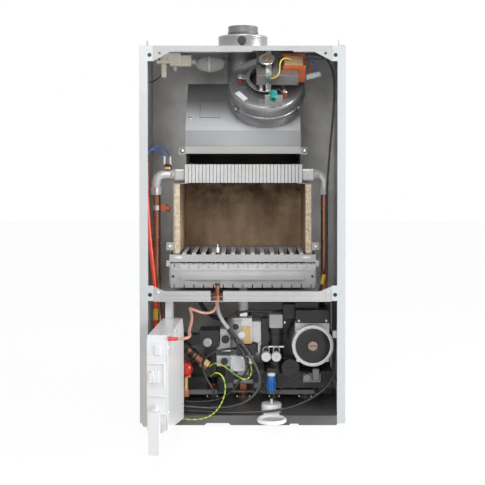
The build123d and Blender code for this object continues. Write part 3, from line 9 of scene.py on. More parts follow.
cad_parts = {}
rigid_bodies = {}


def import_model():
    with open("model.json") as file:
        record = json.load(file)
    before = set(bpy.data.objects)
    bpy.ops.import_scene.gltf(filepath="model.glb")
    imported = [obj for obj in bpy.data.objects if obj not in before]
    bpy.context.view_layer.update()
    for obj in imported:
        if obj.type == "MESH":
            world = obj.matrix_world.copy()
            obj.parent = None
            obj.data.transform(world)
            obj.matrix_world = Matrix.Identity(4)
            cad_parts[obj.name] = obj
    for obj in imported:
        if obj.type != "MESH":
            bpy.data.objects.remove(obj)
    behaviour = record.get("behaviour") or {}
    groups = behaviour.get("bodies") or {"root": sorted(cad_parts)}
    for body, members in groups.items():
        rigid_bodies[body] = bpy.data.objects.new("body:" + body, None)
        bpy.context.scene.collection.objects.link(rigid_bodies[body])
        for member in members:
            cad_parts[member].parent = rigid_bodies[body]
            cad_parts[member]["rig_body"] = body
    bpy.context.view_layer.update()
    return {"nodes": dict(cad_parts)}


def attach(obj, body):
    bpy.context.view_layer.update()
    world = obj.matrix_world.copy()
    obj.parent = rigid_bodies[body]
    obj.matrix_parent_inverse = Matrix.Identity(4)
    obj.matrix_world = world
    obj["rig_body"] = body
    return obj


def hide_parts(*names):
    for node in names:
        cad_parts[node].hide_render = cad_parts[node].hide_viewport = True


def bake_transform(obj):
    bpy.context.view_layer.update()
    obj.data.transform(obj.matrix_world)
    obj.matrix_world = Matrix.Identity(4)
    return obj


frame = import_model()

bl_info = {
    "name": "Combi boiler",
    "version": (1, 0, 0),
    "blender": (4, 5, 0),
    "location": "View3D > Sidebar > Boiler",
    "description": "Builds the looks of a wall-hung combi boiler round its packed frame",
    "category": "Object",
}

MM = 0.001

# Places shared with the solid model, in millimetres
WORKS_D = 299.0
HALF_W = 200.0
FRONT = -WORKS_D
OUT = (0, -1, 0)  # the way the open front faces

# How meshes are cleaned and smoothed: in millimetres, metres and degrees
MERGE = 1e-4
CAD_MERGE = 1e-6
FLAT = 0.5
SMOOTH = 35.0
CAD_SMOOTH = 30.0


def deep(d):
    """Y of a plane d millimetres behind the open front."""
    return d - WORKS_D


def linked(name, data):
    """A new object in the scene."""
    piece = bpy.data.objects.new(name, data)
    bpy.context.scene.collection.objects.link(piece)
    return piece


def box(bm, x0, x1, y0, y1, z0, z1, at=Matrix.Identity(4)):
    """A box from its two corners, added to a mesh."""
    made = bmesh.ops.create_cube(bm, size=1.0)["verts"]
    centre = Vector(((x0 + x1) / 2, (y0 + y1) / 2, (z0 + z1) / 2))
    size = (abs(x1 - x0), abs(y1 - y0), abs(z1 - z0))
    place = Matrix.Translation(centre) @ Matrix.Diagonal((*size, 1))
    bmesh.ops.transform(bm, matrix=at @ place, verts=made)


def upright(x, y, z):
    """A frame at a point with its Z up."""
    return Matrix.Translation((x, y, z))


def facing(x, y, z):
    """A frame at a point whose local Z looks out of the front."""
    return Matrix(((1, 0, 0, x), (0, 0, -1, y), (0, 1, 0, z), (0, 0, 0, 1)))


def toward(start, end):
    """The turn that puts local Z along a line, at its start."""
    run = Vector(end) - Vector(start)
    turn = run.to_track_quat("Z", "Y").to_matrix().to_4x4()
    return Matrix.Translation(Vector(start)) @ turn, run.length


def turned(bm, profile, at, sides=48, phase=0.0):
    """(radius, height) pairs joined by edges and spun round local Z."""
    start = at @ Matrix.Rotation(phase, 4, "Z")
    verts = [bm.verts.new(start @ Vector((r, 0, h))) for r, h in profile[:-1]]
    if profile[-1] == profile[0]:
        verts.append(verts[0])
    else:
        verts.append(bm.verts.new(start @ Vector((profile[-1][0], 0, profile[-1][1]))))
    edges = [bm.edges.new(pair) for pair in zip(verts, verts[1:])]
    bmesh.ops.spin(bm, geom=list(dict.fromkeys(verts)) + edges, cent=at.translation,
                   axis=at.to_3x3() @ Vector((0, 0, 1)), dvec=(0, 0, 0), angle=2 * math.pi,
                   space=Matrix.Identity(4), steps=sides, use_merge=True, use_normal_flip=False,
                   use_duplicate=False)


def disc(bm, start, end, r, sides=48, edge=0.6):
    """A solid round bar between two points with softened rims."""
    at, h = toward(start, end)
    e = min(edge, r / 3, h / 3)
    turned(bm, [(0, 0), (r - e, 0), (r, e), (r, h - e), (r - e, h), (0, h)], at, sides)


def ring(bm, start, end, r, inner, sides=64, edge=0.4):
    """A round tube between two points with softened rims."""
    at, h = toward(start, end)
    e = min(edge, (r - inner) / 3, h / 3)
    profile = [(inner, e), (inner + e, 0), (r - e, 0), (r, e), (r, h - e), (r - e, h),
               (inner + e, h), (inner, h - e), (inner, e)]
    turned(bm, profile, at, sides)


def prism(bm, outline, at, depth):
    """A flat outline of local (x, y) corners extruded along local Z."""
    verts = [bm.verts.new(at @ Vector((x, y, 0))) for x, y in outline]
    face = bm.faces.new(verts)
    raised = bmesh.ops.extrude_face_region(bm, geom=[face], use_keep_orig=True)["geom"]
    moved = [g for g in raised if isinstance(g, bmesh.types.BMVert)]
    bmesh.ops.translate(bm, vec=at.to_3x3() @ Vector((0, 0, depth)), verts=moved)


def rod(bm, start, end, r, sides=24):
    """A plain round bar."""
    at, h = toward(start, end)
    turned(bm, [(0, 0), (r, 0), (r, h), (0, h)], at, sides)


def screw(bm, place, out, r=3.6, h=2.0):
    """A dished cross-head screw seen from out."""
    place, out = Vector(place), Vector(out).normalized()
    at, _ = toward(place, place + out)
    turned(bm, [(0, 0), (r, 0), (r, h * 0.45), (r * 0.8, h * 0.85), (r * 0.35, h),
                (r * 0.3, h * 0.6), (0, h * 0.6)], at, 20)


def ribs(bm, at, count, *sides):
    """The same small box count times round a frame's Z."""
    for step in range(count):
        box(bm, *sides, at @ Matrix.Rotation(2 * math.pi * step / count, 4, "Z"))


def ball(bm, centre, radii, around, up):
    """A sphere drawn out to three radii."""
    made = bmesh.ops.create_uvsphere(bm, u_segments=around, v_segments=up, radius=1.0)["verts"]
    shape = Matrix.Translation(centre) @ Matrix.Diagonal((*radii, 1))
    bmesh.ops.transform(bm, matrix=shape, verts=made)


def finished(name, bm, material, node="", body="boiler", bevel=0.0, segments=2, angle=SMOOTH):
    """A piece from a mesh in millimetres: finish, body, the node it stands for, soft edges."""
    bmesh.ops.remove_doubles(bm, verts=bm.verts, dist=MERGE)
    bmesh.ops.recalc_face_normals(bm, faces=bm.faces)
    bmesh.ops.transform(bm, matrix=Matrix.Scale(MM, 4), verts=bm.verts)
    data = bpy.data.meshes.new(name)
    bm.to_mesh(data)
    bm.free()
    piece = linked(name, data)
    data.materials.append(material)
    for polygon in data.polygons:
        polygon.use_smooth = True
    data.set_sharp_from_angle(angle=math.radians(angle))
    if bevel:
        mod = piece.modifiers.new("Soft edges", "BEVEL")
        mod.width = bevel * MM
        mod.segments = segments
        mod.limit_method = "ANGLE"
        mod.angle_limit = math.radians(angle)
        mod.use_clamp_overlap = True
        mod.harden_normals = False
    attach(piece, body)
    if node:
        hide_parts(node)
    return piece


def built(name, material, *shapes, **facts):
    """A piece made of shapes, each one a maker with its values."""
    bm = bmesh.new()
    for make, *values in shapes:
        make(bm, *values)
    finished(name, bm, material, **facts)


def dressed(node, material, bevel=0.5, segments=2):
    """A merged copy of a CAD node with soft edges, standing for it."""
    source = frame["nodes"][node]
    bm = bmesh.new()
    bm.from_mesh(source.data)
    bmesh.ops.remove_doubles(bm, verts=bm.verts, dist=CAD_MERGE)
    bmesh.ops.dissolve_limit(bm, angle_limit=math.radians(FLAT), verts=bm.verts, edges=bm.edges)
    bmesh.ops.transform(bm, matrix=Matrix.Scale(1 / MM, 4), verts=bm.verts)
    return finished(f"{node}_look", bm, material, node, source["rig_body"], bevel, segments,
                    CAD_SMOOTH)


def curve(name, spots, r, material, kind="NURBS", rings=4):
    """A round curve of r millimetres along control points in metres."""
    data = bpy.data.curves.new(name, "CURVE")
    data.dimensions = "3D"
    spline = data.splines.new(kind)
    spline.points.add(len(spots) - 1)
    for control, spot in zip(spline.points, spots):
        control.co = (*spot, 1)
    if kind == "NURBS":
        spline.order_u = 3
        spline.use_endpoint_u = True
        spline.resolution_u = 8
    data.bevel_depth = r * MM
    data.bevel_resolution = rings
    data.use_fill_caps = True
    data.materials.append(material)
    return linked(name, data)


def metres(points):
    """A route's points in metres."""
    return [(x * MM, y * MM, z * MM) for x, y, z in points]


def line_of(points, material):
    """The points read from a route's own NURBS line, and its length, in metres."""
    core = curve("line", metres(points), 0, material)
    bpy.context.view_layer.update()
    line = bpy.data.meshes.new_from_object(core)
    spots = [tuple(vert.co) for vert in line.vertices]
    length = sum((line.vertices[e.vertices[0]].co - line.vertices[e.vertices[1]].co).length
                 for e in line.edges)
    bpy.data.curves.remove(core.data)
    bpy.data.meshes.remove(line)
    return spots, round(length, 4)


def free_cord(name, points, r, material, node="", stiffness="medium"):
    """A cord that stands for its CAD tube."""
    piece = curve(name, metres(points), r, material)
    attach(piece, "boiler")
    if node:
        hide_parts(node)
    line_of(points, material)[1]


def only(kind, geom):
    """The vertices, edges or faces among an operator's results."""
    return [g for g in geom if isinstance(g, kind)]


def smooth_pipe(bm, points, r, bend, sides=28, steps=8):
    """A round pipe: a circle extruded along each run and spun round each bend."""
    corners = [Vector(p) for p in points]
    at, _ = toward(corners[0], corners[1])
    verts = bmesh.ops.create_circle(bm, cap_ends=False, radius=r, segments=sides,
                                    matrix=at)["verts"]
    edges = list({edge for vert in verts for edge in vert.link_edges})
    bm.faces.new(verts)
    here = corners[0]
    for before, corner, after in zip(corners, corners[1:], corners[2:]):
        u, v = (corner - before).normalized(), (after - corner).normalized()
        reach = bend * math.tan(u.angle(v) / 2)
        edges = run_on(bm, edges, corner - u * reach - here)
        axis = u.cross(v).normalized()
        spun = bmesh.ops.spin(bm, geom=edges, cent=corner - u * reach + axis.cross(u) * bend,
                              axis=axis, dvec=(0, 0, 0), angle=u.angle(v),
                              space=Matrix.Identity(4), steps=steps, use_merge=False,
                              use_normal_flip=False, use_duplicate=False)
        edges = only(bmesh.types.BMEdge, spun["geom_last"])
        here = corner + v * reach
    edges = run_on(bm, edges, corners[-1] - here)
    bmesh.ops.contextual_create(bm, geom=edges)


def run_on(bm, edges, run):
    """Extrudes a ring of edges along a run and gives the new ring."""
    raised = bmesh.ops.extrude_edge_only(bm, edges=edges)["geom"]
    bmesh.ops.translate(bm, vec=run, verts=only(bmesh.types.BMVert, raised))
    return [e for e in only(bmesh.types.BMEdge, raised) if len(e.link_faces) == 1]


# Materials

GLOSS_SPREAD = 0.15  # how far wear takes the roughness either way
# Painted shade and a painted highlight on the hood: half as bright below the slope's foot,
# brightest at the foot, darker towards the top.
SLOPE_PAINTED_SHADE = ((0.55, 0.50), (0.5712, 0.50), (0.5722, 1.0), (0.60, 0.9), (0.635, 0.40),
               (0.67, 0.22))  # height in metres, brightness


def fill(tree, node, values):
    """Sets a node's inputs, or links those whose value is a socket."""
    for label, value in values.items():
        if isinstance(value, bpy.types.NodeSocket):
            tree.links.new(value, node.inputs[label])
        else:
            node.inputs[label].default_value = value


def add_node(tree, kind, out, values=None, **facts):
    """The named output of a new shader node."""
    node = tree.nodes.new(f"ShaderNode{kind}")
    for name, value in facts.items():
        setattr(node, name, value)
    fill(tree, node, values or {})
    return node.outputs[out]


def place_of(tree):
    """The place on the object."""
    return add_node(tree, "TexCoord", "Object")


def noise_of(tree, place, size, detail, **values):
    """Cloudy noise at a place."""
    return add_node(tree, "TexNoise", "Fac",
                    {"Vector": place, "Scale": size, "Detail": detail, **values})


def maths(tree, operation, first, second, **facts):
    """Two values joined by an operation."""
    return add_node(tree, "Math", "Value", {0: first, 1: second}, operation=operation, **facts)


def span_of(tree, value, low, high, top=1.0):
    """A value between low and high drawn out from 0 to top."""
    return add_node(tree, "MapRange", "Result",
                    {"Value": value, "From Min": low, "From Max": high, "To Max": top})


def mixed(tree, share, first, second, blend="MIX"):
    """Two colours mixed."""
    return add_node(tree, "Mix", "Result", {"Factor": share, "A": first, "B": second},
                    data_type="RGBA", blend_type=blend)


def wear_group():
    """Shared group: a base colour with cloudy tone, streaks and a fine grain."""
    found = bpy.data.node_groups.get("Surface wear")
    if found:
        return found
    group = bpy.data.node_groups.new("Surface wear", "ShaderNodeTree")
    for way, kind, labels in (
            ("INPUT", "Color", ("Base", "Stain")),
            ("INPUT", "Float", ("Cloud size", "Cloud", "Streak", "Grain size", "Grain")),
            ("OUTPUT", "Color", ("Color",)), ("OUTPUT", "Float", ("Mask",)),
            ("OUTPUT", "Vector", ("Normal",))):
        for label in labels:
            group.interface.new_socket(label, in_out=way, socket_type=f"NodeSocket{kind}")
    given = group.nodes.new("NodeGroupInput").outputs
    place = place_of(group)
    cloud = span_of(group, noise_of(group, place, given["Cloud size"], 4.0, Roughness=0.6),
                    0.35, 0.72)
    long = add_node(group, "Mapping", "Vector", {"Vector": place, "Scale": (60.0, 60.0, 6.0)})
    mask = maths(group, "ADD", maths(group, "MULTIPLY", cloud, given["Cloud"]),
                 maths(group, "MULTIPLY", noise_of(group, long, 1.6, 3.0), given["Streak"]),
                 use_clamp=True)
    bump = add_node(group, "Bump", "Normal",
                    {"Distance": 0.001, "Strength": given["Grain"],
                     "Height": noise_of(group, place, given["Grain size"], 2.0)})
    fill(group, group.nodes.new("NodeGroupOutput"),
         {"Color": mixed(group, mask, given["Base"], given["Stain"]), "Mask": mask,
          "Normal": bump})
    return group


def painted_slope_shade(tree, colour):
    """A colour times the stops of painted shade and a painted highlight up the hood's slope."""
    low, high = SLOPE_PAINTED_SHADE[0][0], SLOPE_PAINTED_SHADE[-1][0]
    height = add_node(tree, "SeparateXYZ", "Z", {"Vector": place_of(tree)})
    ramp = tree.nodes.new("ShaderNodeValToRGB")
    stops = ramp.color_ramp.elements
    for place, _ in SLOPE_PAINTED_SHADE[1:-1]:
        stops.new((place - low) / (high - low))
    for stop, (_, factor) in zip(stops, SLOPE_PAINTED_SHADE):
        stop.color = (factor, factor, factor, 1)
    fill(tree, ramp, {"Fac": span_of(tree, height, low, high)})
    return mixed(tree, 1.0, colour, ramp.outputs["Color"], "MULTIPLY")


def sooted(tree, colour):
    """A board's colour browned and sooted in blotches by the fire, from the burner up."""
    place = place_of(tree)
    height = add_node(tree, "SeparateXYZ", "Z", {"Vector": place})
    blotch = span_of(tree, noise_of(tree, place, 17.0, 6.0, Roughness=0.7), 0.36, 0.60, 0.9)
    patch = maths(tree, "MULTIPLY", span_of(tree, height, 0.365, 0.45), blotch)
    return mixed(tree, patch, colour, (0.05, 0.024, 0.010, 1))


def striped(tree, colour):
    """A cable's colour with a green stripe wound round it."""
    stripe = add_node(tree, "TexWave", "Fac", {"Vector": place_of(tree), "Scale": 46.0},
                      bands_direction="DIAGONAL")
    return mixed(tree, span_of(tree, stripe, 0.62, 0.70), colour, (0.10, 0.30, 0.05, 1))


def finish_of(name, base, stain, rough, metal=0.0, cloud=0.3, cloud_size=12.0, streak=0.0,
              grain=0.15, grain_size=900.0, alpha=1.0, coat=0.0, over=None):
    """A material from the shared wear group, with its colour taken further by over."""
    found = bpy.data.materials.get(name)
    if found:
        return found
    material = bpy.data.materials.new(name)
    material.use_nodes = True
    tree = material.node_tree
    wear = tree.nodes.new("ShaderNodeGroup")
    wear.node_tree = wear_group()
    fill(tree, wear, {"Base": (*base, 1), "Stain": (*stain, 1), "Cloud size": cloud_size,
                      "Cloud": cloud, "Streak": streak, "Grain size": grain_size,
                      "Grain": grain})
    colour = wear.outputs["Color"]
    gloss = add_node(tree, "MapRange", "Result",
                     {"Value": wear.outputs["Mask"], "To Min": max(0.02, rough - GLOSS_SPREAD),
                      "To Max": min(1.0, rough + GLOSS_SPREAD)})
    fill(tree, tree.nodes["Principled BSDF"],
         {"Base Color": over(tree, colour) if over else colour, "Roughness": gloss,
          "Normal": wear.outputs["Normal"], "Metallic": metal, "Coat Weight": coat,
          "Alpha": alpha})
    return material


# Short name: material, the record's slot, base (a colour or the property that holds it),
# stain, roughness, and what else the finish has
FINISHES = {
    "spigot": ("Spigot alloy", "cast_alloy", (0.24, 0.235, 0.23), (0.12, 0.118, 0.115), 0.5,
               dict(metal=0.3, cloud=0.4, streak=0.5, grain=0.2, grain_size=500.0)),
    "motor": ("Motor alloy", "cast_alloy", (0.68, 0.68, 0.67), (0.48, 0.48, 0.47), 0.42,
              dict(metal=0.3, cloud=0.4, grain=0.4, grain_size=800.0)),
    "enamel": ("White enamel", "white_enamel", "enamel", (0.55, 0.57, 0.58), 0.32,
               dict(cloud=0.25, coat=0.2)),
    "rail": ("Grey enamel", "grey_enamel", "rail", (0.28, 0.29, 0.30), 0.38, dict(cloud=0.4)),
    "wall": ("Inner wall zinc", "galvanised", "wall", (0.50, 0.485, 0.47), 0.5,
             dict(metal=0.1, cloud=0.6, cloud_size=14.0, grain=0.3, grain_size=260.0)),
    "liner": ("Liner zinc", "galvanised", (0.76, 0.745, 0.72), (0.48, 0.465, 0.45), 0.55,
              dict(metal=0.1, cloud=0.8, cloud_size=16.0, grain=0.3, grain_size=220.0)),
    "tray": ("Dark tray", "dark_enamel", (0.115, 0.114, 0.112), (0.17, 0.165, 0.16), 0.45,
             dict(cloud=0.4)),
    "hood": ("Hood zinc", "galvanised", "hood", (0.27, 0.27, 0.265), 0.50,
             dict(metal=0.25, cloud=0.5, cloud_size=9.0, streak=0.25, grain=0.12,
                  grain_size=500.0)),
    # The hood's own brighter copy of zinc, with painted shade and a painted highlight by height.
    "hood_slope": ("Hood zinc with painted shade", "galvanised", (0.56, 0.57, 0.58), (0.46, 0.465, 0.47), 0.50,
                   dict(metal=0.25, cloud=0.5, cloud_size=9.0, streak=0.25, grain=0.12,
                        grain_size=500.0, over=painted_slope_shade)),
    "blade": ("Blade edge", "tinned", (0.70, 0.695, 0.68), (0.48, 0.46, 0.43), 0.46,
              dict(metal=0.1, cloud=0.35, cloud_size=30.0)),
    "lip": ("Hood lip zinc", "galvanised", (0.35, 0.35, 0.34), (0.28, 0.28, 0.27), 0.5,
            dict(metal=0.2, cloud=0.4)),
    # Dark brown sheet for the hood's skirt: painted shade.
    "soot": ("Skirt sheet with painted shade", "galvanised", (0.085, 0.058, 0.042), (0.03, 0.02, 0.015), 0.7,
             dict(metal=0.1, cloud=0.6)),
    "drum": ("Drum zinc", "galvanised", (0.36, 0.36, 0.365), (0.12, 0.12, 0.125), 0.34,
             dict(metal=0.7, cloud=0.5, cloud_size=14.0, streak=0.2, grain=0.08)),
    "dark_zinc": ("Shaded zinc", "galvanised", (0.18, 0.18, 0.18), (0.07, 0.07, 0.07), 0.45,
                  dict(metal=0.6, cloud=0.6)),
    "cast": ("Cast alloy", "cast_alloy", "cast", (0.24, 0.24, 0.235), 0.46,
             dict(metal=0.4, cloud=0.4, grain=0.5, grain_size=700.0)),
    "flue": ("Flue alloy", "cast_alloy", (0.42, 0.42, 0.425), (0.20, 0.20, 0.20), 0.40,
             dict(metal=0.5, cloud=0.4, grain=0.3, grain_size=500.0)),
    "tin": ("Tinned metal", "tinned", (0.56, 0.56, 0.55), (0.40, 0.395, 0.38), 0.36,
            dict(metal=0.35, cloud=0.4, cloud_size=26.0, grain=0.08)),
    "fin": ("Fin edge", "tinned", (0.52, 0.52, 0.515), (0.33, 0.32, 0.31), 0.46,
            dict(metal=0.2, cloud=0.35, cloud_size=30.0)),
    "bright": ("Bright steel", "tinned", (0.72, 0.72, 0.71), (0.5, 0.5, 0.5), 0.22,
               dict(metal=0.95, cloud=0.3)),
    "copper": ("Copper", "copper", "copper", (0.22, 0.085, 0.055), 0.34,
               dict(metal=0.75, cloud=0.6, cloud_size=18.0, grain=0.05)),
    "union": ("Copper union", "copper", (0.60, 0.25, 0.14), (0.33, 0.12, 0.07), 0.34,
              dict(metal=0.8, cloud=0.5, cloud_size=40.0)),
    "bronze": ("Bronze", "brass", (0.40, 0.31, 0.25), (0.24, 0.17, 0.13), 0.34,
               dict(metal=0.7, cloud=0.4)),
    "brass": ("Brass", "brass", (0.64, 0.44, 0.20), (0.40, 0.25, 0.10), 0.3,
              dict(metal=0.85, cloud=0.4)),
    "black": ("Black plastic", "black_plastic", "black", (0.03, 0.03, 0.03), 0.42,
              dict(cloud=0.5, grain=0.12)),
    # Black rubber, and also painted shade where it fills gaps, holes, slots and screw shadows.
    "soft_black": ("Black rubber and painted shade", "black_plastic", (0.018, 0.018, 0.018), (0.05, 0.05, 0.05),
                   0.55, dict(cloud=0.3)),
    "gauge_white": ("Gauge plastic", "white_plastic", (0.93, 0.93, 0.925), (0.86, 0.86, 0.85),
                    0.34, dict(cloud=0.2, coat=0.2)),
    "white": ("White plastic", "white_plastic", "white", (0.74, 0.74, 0.73), 0.38,
              dict(cloud=0.2, coat=0.15)),
    "ceramic": ("Ceramic", "white_plastic", (0.86, 0.84, 0.78), (0.66, 0.62, 0.54), 0.4,
                dict(cloud=0.3)),
    "cream": ("Cream plastic", "cream_plastic", (0.72, 0.68, 0.58), (0.56, 0.52, 0.42), 0.45,
              dict(cloud=0.3)),
    "beige": ("Fascia plastic", "beige_plastic", "beige", (0.42, 0.39, 0.36), 0.35,
              dict(cloud=0.2, coat=0.2)),
    "grey": ("Grey plastic", "grey_plastic", (0.24, 0.245, 0.25), (0.16, 0.16, 0.165), 0.45,
             dict(cloud=0.3)),
    "pale_grey": ("Pale grey plastic", "grey_plastic", (0.50, 0.51, 0.52), (0.36, 0.37, 0.38),
                  0.42, dict(cloud=0.3)),
    "red": ("Red plastic", "red_plastic", "red", (0.40, 0.01, 0.01), 0.3,
            dict(cloud=0.3, coat=0.3)),
    "blue": ("Blue plastic", "blue_plastic", "blue", (0.003, 0.07, 0.28), 0.32,
             dict(cloud=0.3, coat=0.3)),
    "teal": ("Teal plastic", "blue_plastic", (0.01, 0.26, 0.24), (0.01, 0.16, 0.15), 0.35,
             dict(cloud=0.3)),
    "board": ("Fibre board", "board", "board", (0.24, 0.145, 0.085), 0.9,
              dict(cloud=0.75, cloud_size=9.0, streak=0.45, grain=0.8, grain_size=420.0,
                   over=sooted)),
    "board_edge": ("Broken board", "board", (0.70, 0.60, 0.45), (0.34, 0.24, 0.14), 0.9,
                   dict(cloud=1.0, cloud_size=150.0, grain=1.0, grain_size=350.0)),
    "winding": ("Orange bobbin", "winding", (0.50, 0.11, 0.03), (0.30, 0.06, 0.02), 0.45,
                dict(cloud=0.5, cloud_size=60.0)),
    "tape": ("Winding tape", "winding", (0.55, 0.38, 0.22), (0.38, 0.22, 0.11), 0.5,
             dict(cloud=0.5, cloud_size=90.0)),
    "lamination": ("Laminations", "laminated_steel", (0.36, 0.35, 0.34), (0.15, 0.14, 0.13), 0.4,
                   dict(metal=0.8, cloud=0.4)),
    "mount_rubber": ("Mount rubber", "red_plastic", (0.22, 0.035, 0.02), (0.14, 0.02, 0.015), 0.55,
                     dict(cloud=0.4)),
    "cable": ("Black cable", "black_cable", (0.016, 0.016, 0.017), (0.04, 0.04, 0.04), 0.34,
              dict(cloud=0.2, coat=0.15)),
    "earth": ("Earth cable", "earth_cable", (0.60, 0.60, 0.06), (0.45, 0.46, 0.04), 0.4,
              dict(over=striped)),
    "lead": ("Ignition lead", "copper_cable", "lead", (0.38, 0.12, 0.08), 0.38,
             dict(cloud=0.4, cloud_size=40.0, coat=0.2)),
    "grey_cable": ("Grey cable", "black_cable", (0.05, 0.05, 0.052), (0.09, 0.09, 0.09), 0.34,
                   dict(coat=0.2)),
    "red_sleeve": ("Red sleeve", "red_plastic", (0.80, 0.06, 0.025), (0.4, 0.02, 0.01), 0.36,
                   dict(coat=0.2)),
    "yellow": ("Yellow lead", "earth_cable", (0.72, 0.50, 0.05), (0.5, 0.33, 0.03), 0.4, dict()),
    "blue_lead": ("Blue lead", "blue_plastic", (0.03, 0.10, 0.42), (0.02, 0.06, 0.25), 0.4,
                  dict()),
    "red_lead": ("Red lead", "red_plastic", (0.50, 0.03, 0.02), (0.3, 0.02, 0.01), 0.4, dict()),
    "clear": ("Clear plastic", "white_plastic", (0.80, 0.81, 0.80), (0.7, 0.7, 0.68), 0.12,
              dict(cloud=0.2, alpha=0.3, coat=0.5)),
    "salmon": ("Salmon plastic", "red_plastic", (0.68, 0.25, 0.16), (0.5, 0.16, 0.1), 0.45,
               dict()),
    "vessel": ("Vessel red", "red_vessel", (0.30, 0.02, 0.015), (0.2, 0.015, 0.01), 0.45, dict()),
}


def palette(colours):
    """Every material of the boiler, by its short name."""
    made = {}
    for key, (name, _, base, stain, rough, facts) in FINISHES.items():
        if isinstance(base, str):
            base = getattr(colours, base)
        made[key] = finish_of(name, base, stain, rough, **facts)
    return made


# Casing

SHELL_T = 0.9
FLANGE_D = 12
SIDEWAYS = 0.9  # the least share of a face's normal that still counts as sideways


def casing(look, m):
    """The enamelled panels, the roof, the rails and the sheets behind the works."""
    for side in ("left", "right"):
        shell = dressed(f"side_panel_{side}", m["enamel"], look.edge * 1000)
        shell.data.materials.append(m["wall"])
        for face in shell.data.polygons:
            middle = face.center
            inward = abs(middle.x) < (HALF_W - SHELL_T) * MM and abs(face.normal.x) > SIDEWAYS
            if inward and middle.y > (FRONT + FLANGE_D) * MM:
                face.material_index = 1
    dressed("back_plate", m["wall"], 0.3)
    dressed("top_panel", m["rail"], 0.35)
    dressed("cross_rail", m["rail"], 0.35)
    dressed("chamber_liner", m["liner"], 0.3)
    dressed("expansion_vessel", m["vessel"], 4.0, 4)
    built("casing_fixings", m["black"],
          *[(disc, (x, FRONT - 0.1, z), (x, FRONT + 0.2, z), 3.9, 24, 0.05)
            for x in (-179.7816, 179.7816) for z in (716, 251)],
          *[(screw, (x, FRONT, 707.5), OUT, 2.6, 1.4) for x in (-160.5, 160.5)])
    bm = bmesh.new()
    for x0, x1 in ((-158, -63), (-35, 158)):
        box(bm, x0, x1, FRONT - 0.7, FRONT + 0.6, 241.2, 246.6)
        box(bm, x0 + 6, x1 - 6, FRONT - 0.7, FRONT + 0.6, 249.0, 254.4)
    finished("rail_beads", bm, m["rail"], bevel=0.6, segments=3)
    built("rail_screws", m["bright"],
          *[(screw, (x, FRONT, 255.6), OUT, 2.9, 1.4) for x in (-165, 165)])
    built("wall_screws", m["bright"],
          *[(screw, (x, deep(40), z), (-1 if x > 0 else 1, 0, 0), 3.0, 1.2)
            for x in (-(HALF_W - 1.4), (HALF_W - 1.4)) for z in (180, 420, 610)])


# Flue

FLUE_Y = deep(150)


def flue(look, m):
    """The collar with its test point and the spigot inside it."""
    at = upright(0, FLUE_Y, 734.2)
    built("flue_collar_look", m["flue"],
          (turned, [(50.0, 0), (52.6, 0), (53.2, 1.0), (53.2, 3.0), (51.2, 4.4), (51.2, 30.6),
                    (51.8, 31.6), (51.8, 34.4), (51.0, 35.7), (50.4, 35.7), (50.0, 35.0),
                    (50.0, 0)], at, 96), node="flue_collar")
    built("flue_test_point", m["soft_black"],
          (disc, (-2, FLUE_Y - 50.6, 756), (-2, FLUE_Y - 56.2, 756), 6.5, 32),
          (disc, (-2, FLUE_Y - 56.2, 756), (-2, FLUE_Y - 60.2, 756), 8.8, 32, 1.2),
          (box, -6, 2, FLUE_Y - 59.4, FLUE_Y - 52, 738, 754))
    bm = bmesh.new()
    at = upright(0, FLUE_Y, 705)
    turned(bm, [(30, 0), (31, 0), (31, 70), (31.8, 71.5), (31.8, 74.5), (31, 76), (31, 85.6),
                (30.5, 86), (30, 85.6), (30, 0)], at, 80)
    for turn in range(3):
        a = math.radians(90 + 120 * turn)
        rib = upright(0, FLUE_Y, 750) @ Matrix.Rotation(a, 4, "Z")
        box(bm, 30.7, 49.8, -0.8, 0.8, -5, 5, rib)
    finished("flue_spigot_look", bm, m["spigot"], "flue_spigot")


# Hood and fan

SLOPE = math.atan2(101, 90)  # the hood's rise and run
SLOPE_DIR = Vector((0, math.cos(SLOPE), math.sin(SLOPE)))
SLOPE_OUT = Vector((0, -math.sin(SLOPE), math.cos(SLOPE)))
FAN_FOOT = Vector((47.4, deep(60), 571)) + SLOPE_DIR * 83.1
FAN_H = 56.0


def on_slope(height):
    """The hood's sloping face at the fan's middle: x across, y up the slope, z out."""
    place = FAN_FOOT + SLOPE_OUT * height
    return Matrix(((1, 0, 0, place.x), (0, SLOPE_DIR.y, SLOPE_OUT.y, place.y),
                   (0, SLOPE_DIR.z, SLOPE_OUT.z, place.z), (0, 0, 0, 1)))


FAN = on_slope(0.3 + FAN_H)
HOOD = on_slope(0)


